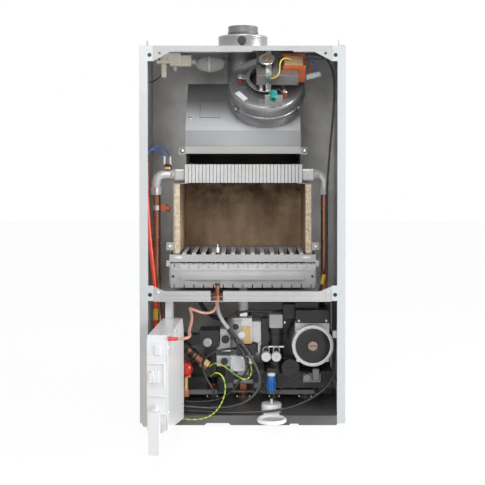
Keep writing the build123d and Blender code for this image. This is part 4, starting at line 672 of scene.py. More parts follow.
def flue_hood(look, m):
    """The folded hood with its stamped pads, screws and lugs."""
    # The hood's finish carries painted shade and a painted highlight up its slope.
    dressed("flue_hood", m["hood_slope"], 0.6, 2)
    bm = bmesh.new()
    for x0, x1, y0, y1 in ((-132.5, -92.5, 2, 20), (-135, -93.5, -46, -13)):
        box(bm, x0, x1, y0, y0 + 1.1, 0.0, 0.25, HOOD)
        box(bm, x0, x0 + 0.8, y0, y1, 0.0, 0.25, HOOD)
        box(bm, x1 - 0.8, x1, y0, y0 + 5, 0.0, 0.25, HOOD)
        box(bm, x0, x0 + 1.8, y1, y1 + 1.8, 0.0, 0.3, HOOD)
        box(bm, x1 - 1.8, x1, y1, y1 + 1.8, 0.0, 0.3, HOOD)
    finished("hood_knockouts", bm, m["dark_zinc"])
    built("hood_lip", m["lip"], (box, -114.6, 115.6, deep(54.4), deep(55.2), 525.6, 540.4),
          bevel=0.3)
    built("hood_screws", m["bright"], (screw, HOOD @ Vector((-155, -47, 0)), SLOPE_OUT, 3.6, 1.8),
          *[(screw, (x, deep(54.9), 531.6), OUT, 3.0, 1.4) for x in (-120.3, 123.7)])
    built("hood_shadows", m["soft_black"],
          *[(disc, (x, deep(54.95), 531.6), (x, deep(54.6), 531.6), 4.6, 24, 0.05)
            for x in (-120.3, 123.7)])
    # The skirt's sheets are real; their dark brown is painted shade between the hood and the fins.
    built("hood_skirt", m["soot"],
          *[(box, x - 0.4, x + 0.4, deep(64), deep(214), 505.0, 525.6) for x in (-112.4, 115.2)],
          (box, -112, 114.8, deep(213), deep(214), 505.0, 525.6), bevel=0.2)


def fan(look, m):
    """The fan: seamed drum, rubber mounts, motor, wheel, test cap and end bell."""
    low = -FAN_H
    at = upright(0, FLUE_Y, 672.4)
    built("fan_drum", m["drum"],
          (turned, [(36, -1.2), (36.4, -0.3), (37.5, 0), (70, 0), (74, -0.9), (76.3, -3.6),
                    (77, -8), (77, -25.0), (78.3, -25.8), (79.0, -27.2), (78.3, -28.6),
                    (77, -29.4), (77, low + 4), (76, low + 1.2), (73.5, low + 0.1),
                    (34, low + 0.1), (34, low + 1.3), (73, low + 1.3), (75.4, low + 3),
                    (75.4, -8), (73.4, -3.2), (70, -1.3), (37, -1.3), (36, -1.2)], FAN, 96),
          (turned,
           [(31.1, 0), (32.4, 0), (32.4, 46), (34.2, 47), (34.2, 49.6), (31.1, 49.6), (31.1, 0)],
           at, 64), node="fan_housing")
    bm, bolts = bmesh.new(), bmesh.new()
    for a in (0.9, 2.3, 3.836, 5.655):
        spot = Vector((77.5 * math.cos(a), 77.5 * math.sin(a), -27.2))
        turn = FAN @ Matrix.Translation(spot) @ Matrix.Rotation(a, 4, "Z")
        box(bm, -1.5, 2.2, -6, 6, -7.5, 6.5, turn)
        out = turn.to_3x3() @ Vector((1, 0, 0))
        screw(bolts, turn @ Vector((2.1, 0, 1.5)), out, 3.0, 2.0)
    finished("fan_rim_clips", bm, m["dark_zinc"], bevel=0.6)
    finished("fan_rim_bolts", bolts, m["bright"])
    rubbers, washers = bmesh.new(), bmesh.new()
    for angle in (178, -48, 65):
        a = math.radians(angle)
        x, y = 52 * math.cos(a), 52 * math.sin(a)
        at = FAN @ upright(x, y, 0)
        turned(rubbers, [(0, 0), (6.8, 0), (7.4, 1.4), (6.2, 4), (5.2, 5), (6.2, 6), (7, 8.4),
                         (6.2, 10), (0, 10)], at, 32)
        turned(washers, [(0, 12.6), (6.4, 12.6), (6.8, 13.1), (6.4, 13.6), (3.4, 13.6),
                         (3.2, 15.4), (1.4, 15.4), (1.2, 14.6), (0, 14.6)], at, 32)
    finished("fan_mounts", rubbers, m["mount_rubber"])
    finished("fan_mount_washers", washers, m["bright"])
    dressed("fan_motor_core", m["lamination"], 0.3)
    bm = bmesh.new()
    for step in range(8):
        z = 26.5 + step * 3.0
        box(bm, -20.25, 62.25, -36.25, 36.25, z, z + 0.5, FAN)
    finished("fan_laminations", bm, m["dark_zinc"])
    dressed("fan_motor_coil", m["winding"], 0.6)
    built("fan_winding_tape", m["tape"], (box, 33.4, 71.6, -14.8, 14.8, 17.4, 57.6, FAN),
          bevel=3.0, segments=4)
    dressed("fan_motor_frame", m["bright"], 0.35)
    at = FAN @ upright(12, -53.5, 21) @ Matrix.Rotation(math.radians(90), 4, "X")
    built("fan_test_cap", m["teal"],
          (turned, [(0, 0), (8.4, 0), (8.8, 0.8), (8.8, 3.2), (8.0, 4.0), (7.8, 17.4),
                    (7.0, 18.4), (4.2, 18.4), (4.0, 10), (0, 10)], at, 40))
    # A black plug deep in the cap's hole: painted shade inside it.
    built("fan_cap_painted_shade", m["soft_black"],
          (turned, [(0, 10.2), (3.9, 10.2), (3.9, 17.2), (0, 17.2)], at, 24))
    dressed("fan_impeller", m["dark_zinc"], 0.3)
    built("fan_bearing", m["brass"],
          (turned, [(0, 61.2), (7.6, 61.2), (8, 61.8), (8, 63.6), (6.6, 64.4), (3.4, 64.4),
                    (3.2, 65.2), (0, 65.2)], FAN, 32))
    turn = FAN @ upright(-50, -41, 0) @ Matrix.Rotation(math.radians(-50), 4, "Z")
    built("fan_blank_label", m["white"], (box, -14, 14, -5.5, 5.5, 0.02, 0.32, turn))
    built("fan_end_bell", m["bright"],
          (turned, [(8.4, 59.4), (14.6, 59.4), (16, 60.4), (15.6, 62.2), (12, 63.4), (8.4, 63.4),
                    (8.4, 59.4)], FAN, 48))


def switch(look, m):
    """The cream air-pressure switch with its clear dome."""
    y = deep(120)
    built("switch_body", m["cream"], (box, -178, -128, y - 16, y + 16, 711, 732.5),
          (box, -150, -106, y - 12, y + 12, 706, 728), (box, -168, -158, y - 5, y + 5, 683, 711),
          node="air_pressure_switch", bevel=2.2, segments=4)
    built("switch_spigots", m["pale_grey"], (disc, (-106.5, y, 716), (-97, y, 716), 6, 32),
          (disc, (-140, y, 706), (-140, y, 696), 4, 24),
          *[(box, x, x + 1.2, y - 17.5, y - 15, 716, 724) for x in (-174, -164, -154)], bevel=0.3)
    built("switch_dome", m["clear"], (ball, (-67.5, y, 710), (30.5, 13.8, 15.8), 48, 24))
    built("switch_dome_seam", m["cream"], (ring, (-71, y, 710), (-67, y, 710), 16.4, 14.6, 48))


# Heat exchanger, chamber, burner

HX_Y = deep(90)
HX_Z = 483.0
FINS = 33
FIRST_FIN = -112.9
FIN_SPAN = 228.8
BLADES = 13
BLADE_PITCH = 19.7
ROD_X = -50.5  # the ignition electrode
FLOW_X, RETURN_X = -175, 166


def exchanger(look, m):
    """The fin pack with its headers and the round pipes that leave them."""
    dressed("heat_exchanger_core", m["tin"], 0.12, 1)
    left, right = -115.3, 116.8
    built("exchanger_elbows", m["tin"],
          (smooth_pipe, [(left - 20, HX_Y, HX_Z), (FLOW_X, HX_Y, HX_Z), (FLOW_X, HX_Y, 443)], 10,
           16, 32),
          (smooth_pipe, [(right + 25, HX_Y, HX_Z), (RETURN_X, HX_Y, HX_Z), (RETURN_X, HX_Y, 443)],
           9.0, 16, 32), node="heat_exchanger_pipework")
    built("exchanger_headers", m["tin"],
          *[(box, x0, x1, HX_Y - 14, HX_Y + 14, HX_Z - 13, HX_Z + 13)
            for x0, x1 in ((left - 24, left), (right, right + 29))], bevel=4.5, segments=5)
    east, _ = toward((right + 27, HX_Y, HX_Z), (right + 50, HX_Y, HX_Z))
    west, _ = toward((left - 22, HX_Y, HX_Z), (left - 50, HX_Y, HX_Z))
    built("exchanger_necks", m["tin"],
          (turned, [(0, 0), (12.6, 0), (12.4, 3), (10.6, 8), (9.4, 12), (0, 12)], east, 40),
          (turned, [(0, 0), (12.4, 0), (12.2, 2.5), (10.9, 7), (10.2, 10), (0, 10)], west, 40))
    bm = bmesh.new()
    for x, r in ((FLOW_X, 12.5), (RETURN_X, 11.0)):
        at = upright(x, HX_Y, 442)
        turned(bm, [(0, 0), (r - 0.8, 0), (r, 0.8), (r, 15.2), (r - 0.8, 16), (0, 16)], at, 6,
               math.radians(30))
    finished("exchanger_nuts", bm, m["tin"], bevel=0.5)
    built("exchanger_top_plate", m["tin"],
          (box, -114, 117, deep(66), deep(200), HX_Z + 20.5, HX_Z + 21.1), bevel=0.2)
    bm = bmesh.new()
    for fin in range(FINS):
        x = FIRST_FIN + fin * (FIN_SPAN / (FINS - 1))
        box(bm, x - 3.3, x + 3.0, deep(61.2), deep(61.9), 467.3, 504.2)
    finished("fin_lips", bm, m["fin"], bevel=0.5)


def thermostats(look, m):
    """The safety thermostat on the left elbow and the flow sensor's orange plug."""
    top = 493.8
    built("thermostat_base", m["brass"],
          (disc, (-153, HX_Y, top), (-153, HX_Y, top + 6), 9.5, 40, 1.0), node="heat_sensors")
    built("thermostat_cap", m["black"],
          (disc, (-153, HX_Y, top + 6), (-153, HX_Y, top + 11), 7.0, 32, 1.0))
    built("thermostat_terminals", m["white"],
          *[(box, x, x + 3.6, HX_Y - 2.2, HX_Y + 2.2, top + 8, top + 27) for x in (-161, -149)],
          bevel=0.8)
    built("flow_sensor_plug", m["winding"], (box, -166.5, -155.5, HX_Y - 7, HX_Y + 7, 408, 424),
          (disc, (-157, HX_Y, 416), (-148.2, HX_Y, 412.2), 6, 24, 1.0), bevel=1.2, segments=3)
    built("flow_sensor_clip", m["bright"],
          (ring, (FLOW_X, HX_Y, 411), (FLOW_X, HX_Y, 421), 9.4, 7.9, 40))


def pipes(look, m):
    """The copper flow and return pipes, round with smooth bends."""
    y0, y1, y2 = deep(90), deep(125), deep(176)
    built("flow_pipe_look", m["copper"],
          (smooth_pipe,
           [(FLOW_X, y0, 441.7), (FLOW_X, y0, 250), (FLOW_X, y1, 195), (FLOW_X, y1, 152.3)], 7.5,
           22, 32), node="flow_pipe")
    built("return_pipe_look", m["copper"],
          (smooth_pipe, [(RETURN_X, y0, 441.7), (RETURN_X, y0, 228), (RETURN_X, y2, 220),
                         (RETURN_X, y2, 184.3)], 7.5, 20, 32), node="return_pipe")
    start = Vector((-125, deep(112), 131))
    run = (Vector((-76, deep(112), 90.5)) - start).normalized()
    built("hot_water_pipe_look", m["copper"],
          (disc, start + run * 14.3, start + run * 62, 8.5, 40, 0.4), node="hot_water_pipe")
    at, _ = toward(start + run * 52, start + run * 68)
    built("hot_water_union", m["brass"],
          (turned, [(0, 0), (11.2, 0), (12, 0.8), (12, 15.2), (11.2, 16), (0, 16)], at, 6),
          bevel=0.5)
    built("hot_water_clips", m["black"], (ring, start + run * 22, start + run * 30, 10.4, 8.6, 40),
          (ring, start + run * 34, start + run * 37, 10.0, 8.6, 40))


def chamber(look, m):
    """The combustion chamber's shell and its three fibre boards."""
    dressed("combustion_chamber", m["hood"], 0.35)
    dressed("insulation_boards", m["board"], 0.8, 3)
    bm = bmesh.new()
    x0, x1 = 125.8, 137.2
    for side in (-1, 1):
        low, high = sorted((side * x0, side * x1))
        box(bm, low, high, deep(58) + 0.6, deep(58) + 1.6, 326.2, 464.6)
    finished("board_front_edges", bm, m["board_edge"], bevel=0.4)
    built("chamber_screws", m["bright"],
          *[(screw, (x, deep(58), 340), OUT, 3.2, 1.6) for x in (-146, 146)])


def burner(look, m):
    """The blades, their rail, the manifold with its slots and the electrodes."""
    dressed("burner_blades", m["blade"], 0.5)
    slots, sides = bmesh.new(), bmesh.new()
    for blade in range(BLADES):
        x = (blade - BLADES // 2) * BLADE_PITCH
        for side in (-1, 1):
            box(sides, x + side * 4.02, x + side * 4.2, deep(70), deep(210), 313, 324.6)
        for mark in range(look.slot_marks):
            y = deep(72 + mark * 136.4 / look.slot_marks)
            box(slots, x - 1.4, x + 1.4, y, y + 0.8, 325.7, 326.08)
    # The flame slots are black marks on the blade tops: painted shade in the openings.
    finished("blade_slots", slots, m["soft_black"])
    # Painted shade: thin black sheets on the blades' sides darken the gaps between them.
    finished("blade_painted_shade", sides, m["soft_black"])
    # A black plate under the blades: painted shadow seen down between them.
    built("burner_painted_shadow_plate", m["soft_black"], (box, -134, 134, deep(76), deep(218), 290, 291))
    dressed("burner_rail", m["cast"], 0.5)
    built("rail_dimples", m["blade"],
          *[(ball, (x, deep(55.2), 317.4), (9, 1.4, 2.8), 32, 12) for x in (-129, 128)])
    dressed("burner_manifold", m["cast"], 0.5)
    built("manifold_bead", m["cast"], (box, -122, 124, deep(55.9), deep(58.2), 273.6, 283.4),
          bevel=2.0, segments=5)
    bm = bmesh.new()
    box(bm, -138.5, 138.5, deep(56.6), deep(58.2), 291.4, 295.2)
    for mark in range(BLADES + 1):
        x = (mark - BLADES / 2) * BLADE_PITCH
        box(bm, x + 1.4, x + 17.6, deep(57.0), deep(58.2), 295.0, 303.6)
    finished("manifold_lip", bm, m["fin"], bevel=0.5)
    built("manifold_plugs", m["soft_black"],
          *[(disc, (x, deep(57.4), 279.8), (x, deep(56.4), 279.8), 2.6, 24, 0.2)
            for x in (-139.5, 139.5)])
    built("gland", m["union"], (disc, (ROD_X, deep(50), 230.05), (ROD_X, deep(50), 266), 4.2, 32),
          (box, -64.5, -36.5, deep(50) - 10, deep(50) + 12, 240.3, 241.8),
          node="ignition_electrodes", bevel=0.3)
    built("electrode_ceramic", m["ceramic"],
          (disc, (ROD_X, deep(66), 326.2), (ROD_X, deep(66), 337), 3.2, 28, 0.8))
    built("electrode_tip", m["bright"],
          (rod, (ROD_X, deep(66), 337), (ROD_X, deep(66), 344), 1.0, 12))
    built("gland_cup", m["soft_black"],
          (disc, (ROD_X, deep(50), 262.6), (ROD_X, deep(50), 266.4), 5.2, 32, 0.5))


# Gas train

GAS_X, GAS_Y = 1.0, deep(112)


def gas(look, m):
    """The gas valve with its cup, covers, bracket and adjuster, and the pipe above it."""
    built("gas_pipe_look", m["pale_grey"],
          (disc, (GAS_X, GAS_Y, 191.3), (GAS_X, GAS_Y, 264.7), 10, 48, 0.6), node="gas_pipe")
    at = upright(GAS_X, GAS_Y, 191.3)
    built("gas_nut", m["bright"],
          (turned, [(0, 0), (14.2, 0), (15, 0.8), (15, 11), (14.2, 11.7), (0, 11.7)], at, 6),
          bevel=0.6)
    at = upright(-10, GAS_Y, 150)
    built("valve_cup", m["cast"],
          (turned, [(0, 0), (19, 0), (21.3, 2), (21.3, 34), (22.4, 35.5), (22.4, 39.5),
                    (21.4, 41), (19, 41), (0, 41)], at, 56), node="gas_valve_body")
    built("valve_castings", m["motor"], (box, -12, 19, deep(92), deep(146), 137, 190.6),
          (box, 18, 37, deep(100), deep(146), 138, 182),
          (box, -26, 19, deep(131), deep(140), 100, 140), (box, -22, 22, -80, -57, 24.3, 34),
          bevel=1.6, segments=3)
    built("valve_covers", m["pale_grey"], (box, -26, 5, deep(88), deep(140), 81, 114),
          (box, -54, -25, deep(96), deep(140), 90, 112),
          (box, -47, -25, deep(102), deep(140), 123, 166), bevel=1.6, segments=3)
    built("valve_inlet", m["cast"], (disc, (0, -67, 33), (0, -67, 80), 11.5, 32),
          (box, -12, 12, deep(138), -54, 62, 84), bevel=1.0)
    y = deep(92) - 0.3
    built("valve_bracket", m["brass"], (box, -1, 15.5, y - 2, y, 139, 173),
          (box, -1, 15.5, y - 8, y - 1.5, 139, 141), bevel=0.4)
    at, _ = toward((-3, y, 156), (-3, y - 8, 156))
    built("valve_adjuster_cap", m["white"],
          (turned, [(0, 0), (8, 0), (8, 5), (7, 6.6), (3, 7), (0, 7)], at, 40))
    dressed("gas_valve_coil", m["black"], 1.2, 3)
    built("valve_screws", m["bright"],
          *[(screw, (x, deep(88), z), OUT, 2.6, 1.5)
            for x, z in ((-20, 86), (-1, 109), (-20, 109), (-1, 86))],
          *[(screw, (x, deep(99) if x > 0 else deep(92), z), OUT, 2.6, 1.5)
            for x, z in ((23, 143), (32, 177), (-8, 143))])
    built("valve_sockets", m["black"],
          (disc, (-14, GAS_Y - 21.5, 172), (-14, GAS_Y - 15, 172), 6.5, 32, 0.8),
          (disc, (-38, deep(95.6), 101), (-38, deep(91), 101), 7, 32, 0.8),
          (disc, (-36, deep(101.6), 145), (-36, deep(96), 145), 8, 32, 0.8))


# Pump

PUMP_X, PUMP_Z = 142.0, 136.0
PUMP_Y = deep(76)
BOSS_R = 40.704


def pump(look, m):
    """The circulating pump: cast motor, black face, vent plug, boxes and volute."""
    at = facing(PUMP_X, PUMP_Y, PUMP_Z)
    back = -(74 - 0.3)
    built("pump_housing", m["motor"],
          (turned, [(0, -1.5), (35.1, -1.5), (35.1, -0.4), (35.8, 0), (39.4, 0), (41.6, -0.8),
                    (42.4, -2.6), (42.4, -13), (41, -16), (41, back + 1), (40, back), (0, back)],
           at, 96), (box, PUMP_X - 35, PUMP_X + 35, deep(92), deep(149.7), PUMP_Z, 180.7),
          node="pump_motor", bevel=0.8)
    bm = bmesh.new()
    for angle in (45, 135, 225, 315):
        a = math.radians(angle)
        spot = at @ Vector((BOSS_R * math.cos(a), BOSS_R * math.sin(a), -9))
        disc(bm, spot, spot + Vector((0, -7, 0)), 4.6, 24, 0.6)
    finished("pump_bolt_bosses", bm, m["motor"], bevel=0.4)
    built("pump_face", m["black"],
          (turned, [(10.1, -1.4), (10.1, -0.2), (10.5, 0), (34.0, 0), (34.7, -0.3), (34.7, -1.4),
                    (10.1, -1.4)], at, 96), node="pump_covers")
    built("pump_terminal_box", m["black"],
          (box, PUMP_X - 35, PUMP_X + 35, deep(84), deep(150), 181, 208),
          (box, PUMP_X - 60, PUMP_X - 34, deep(104), deep(140), 186, 217),
          (box, PUMP_X - 35, 156.5, deep(100), deep(150), 207, 222), bevel=1.8, segments=3)
    built("vent_plug_look", m["bronze"],
          (turned, [(0, 0.7), (7.4, 0.7), (7.8, 2), (9.2, 2), (9.7, 1.5), (9.7, -1.35),
                    (6, -1.4), (6, -9.4), (0, -9.4)], at, 48), node="pump_vent_plug",
          body="vent_plug")
    # The plug's slot as a black bar: painted shade in the recess.
    built("vent_plug_slot", m["soft_black"],
          (box, PUMP_X - 6.8, PUMP_X + 6.8, PUMP_Y - 0.95, PUMP_Y - 0.6, PUMP_Z - 0.9,
           PUMP_Z + 0.9), body="vent_plug")
    dressed("pump_rotor", m["lamination"], 0.4)
    dressed("pump_volute", m["black"], 1.0, 3)
    built("terminal_box_screws", m["bright"],
          *[(screw, (x, deep(84), 186), OUT, 2.4, 1.2) for x in (PUMP_X - 28, PUMP_X + 28)])


# Hydraulic blocks


def return_side(look, m):
    """The black return block with its knobbed boss, clip, caps, actuator head and taps."""
    dressed("return_block", m["black"], 1.0, 3)
    boss = facing(97.6, deep(93.8), 87)
    built("filter_cap", m["black"],
          (turned, [(0, 0), (14, 0), (16.4, -0.6), (18.4, -3), (18.4, -8), (17.5, -10), (0, -10)],
           boss, 64), (ribs, boss, 14, 12.4, 19.0, -1.3, 1.3, -8, 0.8),
          (box, -8, 8, -1.2, 1.2, 0, 1.6, boss), bevel=0.4)
    at = upright(68, deep(118), 0)
    built("column_rings", m["black"],
          *[(turned, [(15.0, z), (16.6, z + 0.4), (16.6, z + 2.6), (15.0, z + 3)], at, 40)
            for z in (88, 104, 120, 136, 152)])
    built("column_clip", m["bright"], (box, 51.5, 84.5, deep(101.5), deep(104), 128, 131),
          (box, 51.5, 54, deep(101.5), deep(126), 128, 131),
          (box, 82, 84.5, deep(101.5), deep(126), 128, 131), bevel=0.4)
    built("actuator_head", m["pale_grey"], (box, 54, 82, deep(97), deep(128), 168.3, 197),
          node="return_fittings", bevel=2.4, segments=4)
    built("cap_loops", m["bright"],
          *[(ring, (x, deep(97.4), 123.5), (x, deep(95.8), 123.5), 7.2, 5.8, 32, 0.4)
            for x in (47.5, 68.5)], (screw, (86, deep(110), 178), OUT, 3.0, 1.4))
    bm = bmesh.new()
    for x, back in ((47.5, 105.3), (68.5, 102.8)):
        at = facing(x, deep(90), 110.5)
        turned(bm, [(0, 0), (8.6, 0), (9.8, -1), (10, -2.5), (10, 90 - back), (0, 90 - back)], at,
               40)
        turned(bm, [(2, 0), (3.4, 0), (3.4, 1.4), (2, 1.4)], at, 24)
    finished("sensor_caps", bm, m["white"])
    y = deep(94)
    built("filling_tap_stem", m["white"], (disc, (58.4, y, 71.5), (58.4, y, 78.7), 8.5, 40, 0.8),
          (rod, (58.4, y, 58), (58.4, y, 72), 4, 24))
    at = upright(58.4, y, 38)
    built("filling_tap_look", m["blue"],
          (turned, [(4.1, 19), (4.1, 33.2), (8, 33.2), (8.6, 32.6), (8.6, 24), (6.6, 21),
                    (6.6, 3), (5.8, 0.6), (4.6, 0), (0, 0), (0, 19), (4.1, 19)], at, 48),
          (ribs, at, 10, 6.0, 8.7, -1.0, 1.0, 1.5, 31.5), node="filling_tap", body="filling_tap",
          bevel=0.4)
    at = facing(132, deep(95), 66)
    built("drain_tap_look", m["grey"],
          (turned, [(0, 0), (6.6, 0), (7.4, -0.8), (7.4, -10.6), (3, -10.7), (3, -18), (0, -18)],
           at, 40), (ribs, at, 12, 6.4, 8.4, -0.9, 0.9, -10, -1),
          (box, -5, 5, -1.1, 1.1, 0, 1.0, at), node="drain_tap", body="drain_tap", bevel=0.3)
    built("drain_tap_body", m["grey"], (box, 122.8, 161.2, deep(105.8), deep(121), 53.8, 74.2),
          (box, 142.8, 157.2, deep(99.8), deep(112), 59.8, 84.2), bevel=1.8, segments=3)


def flow_side(look, m):
    """The black flow block, its screw, the safety valve and the plate exchanger."""
    dressed("flow_block", m["black"], 1.4, 3)
    at = facing(-73, deep(96), 139)
    built("flow_block_screw", m["cast"],
          (turned, [(0, 0.2), (3, 0.2), (3.4, 1.6), (7.4, 1.6), (9, 0.4), (9, -4.8), (0, -4.8)],
           at, 40))
    at, _ = toward((-125, deep(112), 131), (-76, deep(112), 90.5))
    built("hot_water_collar", m["black"],
          (turned, [(8.8, -0.5), (12.6, -0.5), (13.2, 0.4), (13.2, 4.6), (12.2, 5.4), (12.2, 10),
                    (13.0, 10.8), (13.0, 13.6), (8.8, 13.9)], at, 48))
    dressed("safety_valve", m["brass"], 0.8, 3)
    at = facing(-120, deep(101), 81.5)
    built("safety_knob_look", m["red"],
          (turned, [(0, 0), (9.5, 0), (10.5, -0.6), (12, -2), (13.8, -3), (14.2, -15),
                    (13.6, -16.6), (4, -16.7), (4, -30), (0, -30)], at, 64),
          (ribs, at, look.knob_ribs, 13.2, 16.8, -1.5, 1.5, -16.6, -2.4), node="safety_valve_knob",
          body="safety_valve_knob", bevel=0.6, segments=3)
    built("valve_outlet", m["salmon"],
          (disc, (-120, deep(128), 20.5), (-120, deep(128), 34), 8.4, 32, 0.8))
    dressed("plate_heat_exchanger", m["bright"], 2.0, 3)
    bm = bmesh.new()
    for step in range(10):
        y = deep(249 + step * 4)
        box(bm, -60.6, 45.6, y, y + 1.2, 59.4, 140.6)
    finished("plate_edges", bm, m["tin"], bevel=0.3)


# Base

TAIL_PITCH = 68
TAIL_Y = -67
TAIL_RADII = (13.2, 10.5, 13.2, 10.5, 13.2)


def base(look, m):
    """The dark tray, the plates and the five tails, with the gauge and the clips."""
    dressed("bottom_tray", m["tray"], 0.4)
    dressed("pipe_brackets", m["enamel"], 0.4)
    built("bracket_upstands", m["enamel"],
          *[(box, x0, x1, -106.9, -105.7, 10.1, 18) for x0, x1 in ((-154, -56), (56, 154))],
          bevel=0.4)
    bm, nuts, washers = bmesh.new(), bmesh.new(), bmesh.new()
    for place, r in enumerate(TAIL_RADII):
        at = upright((place - 2) * TAIL_PITCH, TAIL_Y, 0)
        thread = [(r - 0.9, -28)]
        pitch = 26.6 / look.thread_turns
        for step in range(look.thread_turns):
            z = -27.4 + step * pitch
            thread += [(r, z + pitch * 0.15), (r, z + pitch * 0.4), (r - 0.8, z + pitch * 0.7)]
        turned(bm, [(r - 3, 10), (r - 3, -28)] + thread + [(r, 3), (r, 10.1), (r - 3, 10.1)], at,
               40)
        turned(nuts, [(r, 13.2), (r + 1, 13.4), (r + 1, 23.4), (r + 0.4, 24), (0, 24), (0, 13.2),
                      (r, 13.2)], at, 6)
        turned(washers, [(r - 1, 10.1), (r + 3.6, 10.1), (r + 4, 10.6), (r + 4, 12.8),
                         (r + 3.4, 13.1), (r - 1, 13.1)], at, 40)
    finished("tail_threads", bm, m["bronze"], "connection_tails")
    finished("tail_nuts", nuts, m["union"], bevel=0.6)
    finished("tail_washers", washers, m["union"])
    at = upright(59, deep(104), -5.2)
    built("gauge_body", m["gauge_white"],
          (turned, [(0, 0), (19.6, 0), (20.8, 1.2), (20.8, 15.6), (19.4, 17.6), (8.2, 17.8),
                    (3.4, 18.6), (2.6, 20), (2.4, 26.4), (0, 27)], at, 64), node="gauge_parts")
    at = upright(58, deep(42.5), -8)
    built("gauge_ring", m["gauge_white"],
          (turned, [(21.6, 0), (28.4, 0), (29.6, 1.4), (29.6, 4.6), (27, 6.8), (24, 6.9),
                    (21.6, 5.4), (21.6, 0)], at, 72), (box, 42, 74, deep(69), deep(76), -5.2, -1))
    at = upright(58, deep(42.5), -8)
    built("gauge_dial", m["pale_grey"],
          (turned, [(0, 1.4), (21.7, 1.4), (21.7, 3.0), (0, 3.0)], at, 48))
    dressed("cable_clips", m["white"], 0.8, 3)
    dressed("hinge_brackets", m["rail"], 0.4)


# Control box, drawn in its shut frame and swung open

OPEN = math.radians(-93.7)
SHUT = upright(-146, deep(45), 0) @ Matrix.Rotation(OPEN, 4, "Z")


def control_box(look, m):
    """The white control box with its fascia, buttons and moulded details."""
    dressed("control_box_shell", m["white"], 2.2, 4)
    dressed("control_fascia", m["beige"], 1.4, 4)
    cover = [(-8.5, -4.5), (-8.5, 172), (7.5, 199.5), (190.1, 199.5), (200.1, 189.5),
             (200.1, 31.5)]
    at = SHUT @ Matrix(((1, 0, 0, 0), (0, 0, 1, 25.3), (0, 1, 0, 0), (0, 0, 0, 1)))
    built("box_cover", m["white"], (prism, cover, at, 2.2), node="control_box_cover",
          body="control_box", bevel=0.8, segments=3)
    at, _ = toward(SHUT @ Vector((195, 27.6, 194.5)), SHUT @ Vector((195, 44.6, 194.5)))
    built("ignition_boot", m["red"],
          (turned, [(0, 0), (4.4, 0), (4.6, 0.6), (4.4, 2.4), (3.6, 3.0), (3.4, 12), (2.8, 16.4),
                    (2.4, 17), (0, 17)], at, 32), body="control_box")
    bm = bmesh.new()
    for step in range(12):
        a = 26 + step * 14
        low = -5 + (a + 9) * 36 / 209.6
        box(bm, a, a + 7, 6, 16, low - 4.5, low + 2.5, SHUT)
    finished("box_comb", bm, m["white"], body="control_box", bevel=0.5)
    built("box_end_mouldings", m["white"],
          *[(box, 200.0, 202.6, b0, b1, z0, z1, SHUT)
            for z0, z1, b0, b1 in ((60, 62.4, -8, 24), (92, 94.4, -8, 24), (108, 152, 20, 22.4),
                                   (150, 152.4, -8, 22.4), (166, 184, 4, 14))],
          (box, 200.0, 207.5, -6, 3, 118, 121, SHUT), (box, 205.0, 207.5, -6, 3, 118, 136, SHUT),
          body="control_box", bevel=0.6, segments=3)
    bm = bmesh.new()
    for a, z in ((20, 30), (20, 165), (185, 60), (185, 178), (100, 190)):
        spot = SHUT @ Vector((a, 27.5, z))
        screw(bm, spot, SHUT.to_3x3() @ Vector((0, 1, 0)), 3.0, 1.4)
    finished("box_cover_screws", bm, m["bright"], body="control_box")
    for place in range(3):
        dressed(f"button_{place + 1}", m["grey"], 0.5, 3)


# Cords. Each route repeats the solid model's points, in millimetres, but for PAIR's lower
# ones and RED_SLEEVE. PAIR's are moved by less than 10, and the sleeve is only drawn here.

GREY_R = 2.7
CABLE_R = 2.5
CAPILLARY_R = 1.0
HOSE_R = 4.5
EARTH_R = 1.5
FINE_R = 1.3
PAIR_R = 2.0
SLEEVE_R = 4.0

LEAD = [(-50.5, -249, 230.05), (-52.5, -256, 218), (-62, -266, 210.5), (-79, -278, 212),
        (-95, -293, 220.5), (-103, -310, 227.5), (-99, -330, 224.5), (-94.3, -356, 216.5),
        (-95.5, -386, 206.5), (-97, -413, 200), (-93.5, -430, 197), (-95.5, -441.5, 195.5),
        (-102.5, -448.8, 194.6), (-112.6, -451.4, 194.5)]
GREY = [(-54, -210, 239.2), (-53.4, -208, 222), (-50, -211.5, 200), (-34.5, -217, 176),
        (-8.7, -221.5, 149.2), (8, -221.6, 129), (20, -221.5, 107), (32.9, -221.5, 81),
        (35.3, -221, 60.8), (28.3, -219.5, 39.7), (5.2, -216, 19), (-27.4, -211, 8),
        (-62, -207.5, 5), (-95, -206.5, 6.5), (-124, -206, 9), (-150.5, -206, 10)]
SENSOR = [(83, -189, 203.5), (69, -203, 203), (50, -214, 204.5), (23.6, -219, 207.8),
          (-4.1, -218, 204.2), (-26, -213, 194.6), (-35.7, -209.5, 181.9), (-31.5, -209.5, 165.5),
          (-18.2, -215.5, 149.6), (-1, -219.7, 124), (11.5, -219.5, 98), (6.5, -215, 79.3),
          (-8.9, -211, 57.9), (-27, -207, 36), (-49, -203.5, 22), (-80, -200.5, 16.5),
          (-115, -198.5, 16), (-150.5, -198, 18)]
COIL_CABLE = [(-12.5, -203, 127), (-29, -210.5, 127.8), (-46.2, -215, 126.1), (-64.8, -214, 119.8),
              (-79, -210, 107.4), (-83.8, -206.5, 90), (-78, -205, 72), (-66, -202.5, 50),
              (-56, -199.5, 29), (-62, -195, 11), (-84, -192.5, 3), (-116, -191.5, 3.5),
              (-150.5, -191, 6)]
PUMP_CABLE = [(190.6, -207, 150.5), (191, -207, 127), (190.8, -207.2, 100), (187.5, -208.5, 74),
              (175.5, -211.5, 53), (152, -215.5, 34.5), (119, -219.8, 17.5), (85, -222, 7),
              (47, -222.6, 2.2), (10, -222.4, 0.2), (-27, -221, -0.4), (-62, -217.5, 0),
              (-94, -214, 0.8), (-123, -212.3, 1.6), (-150.5, -212, 2)]
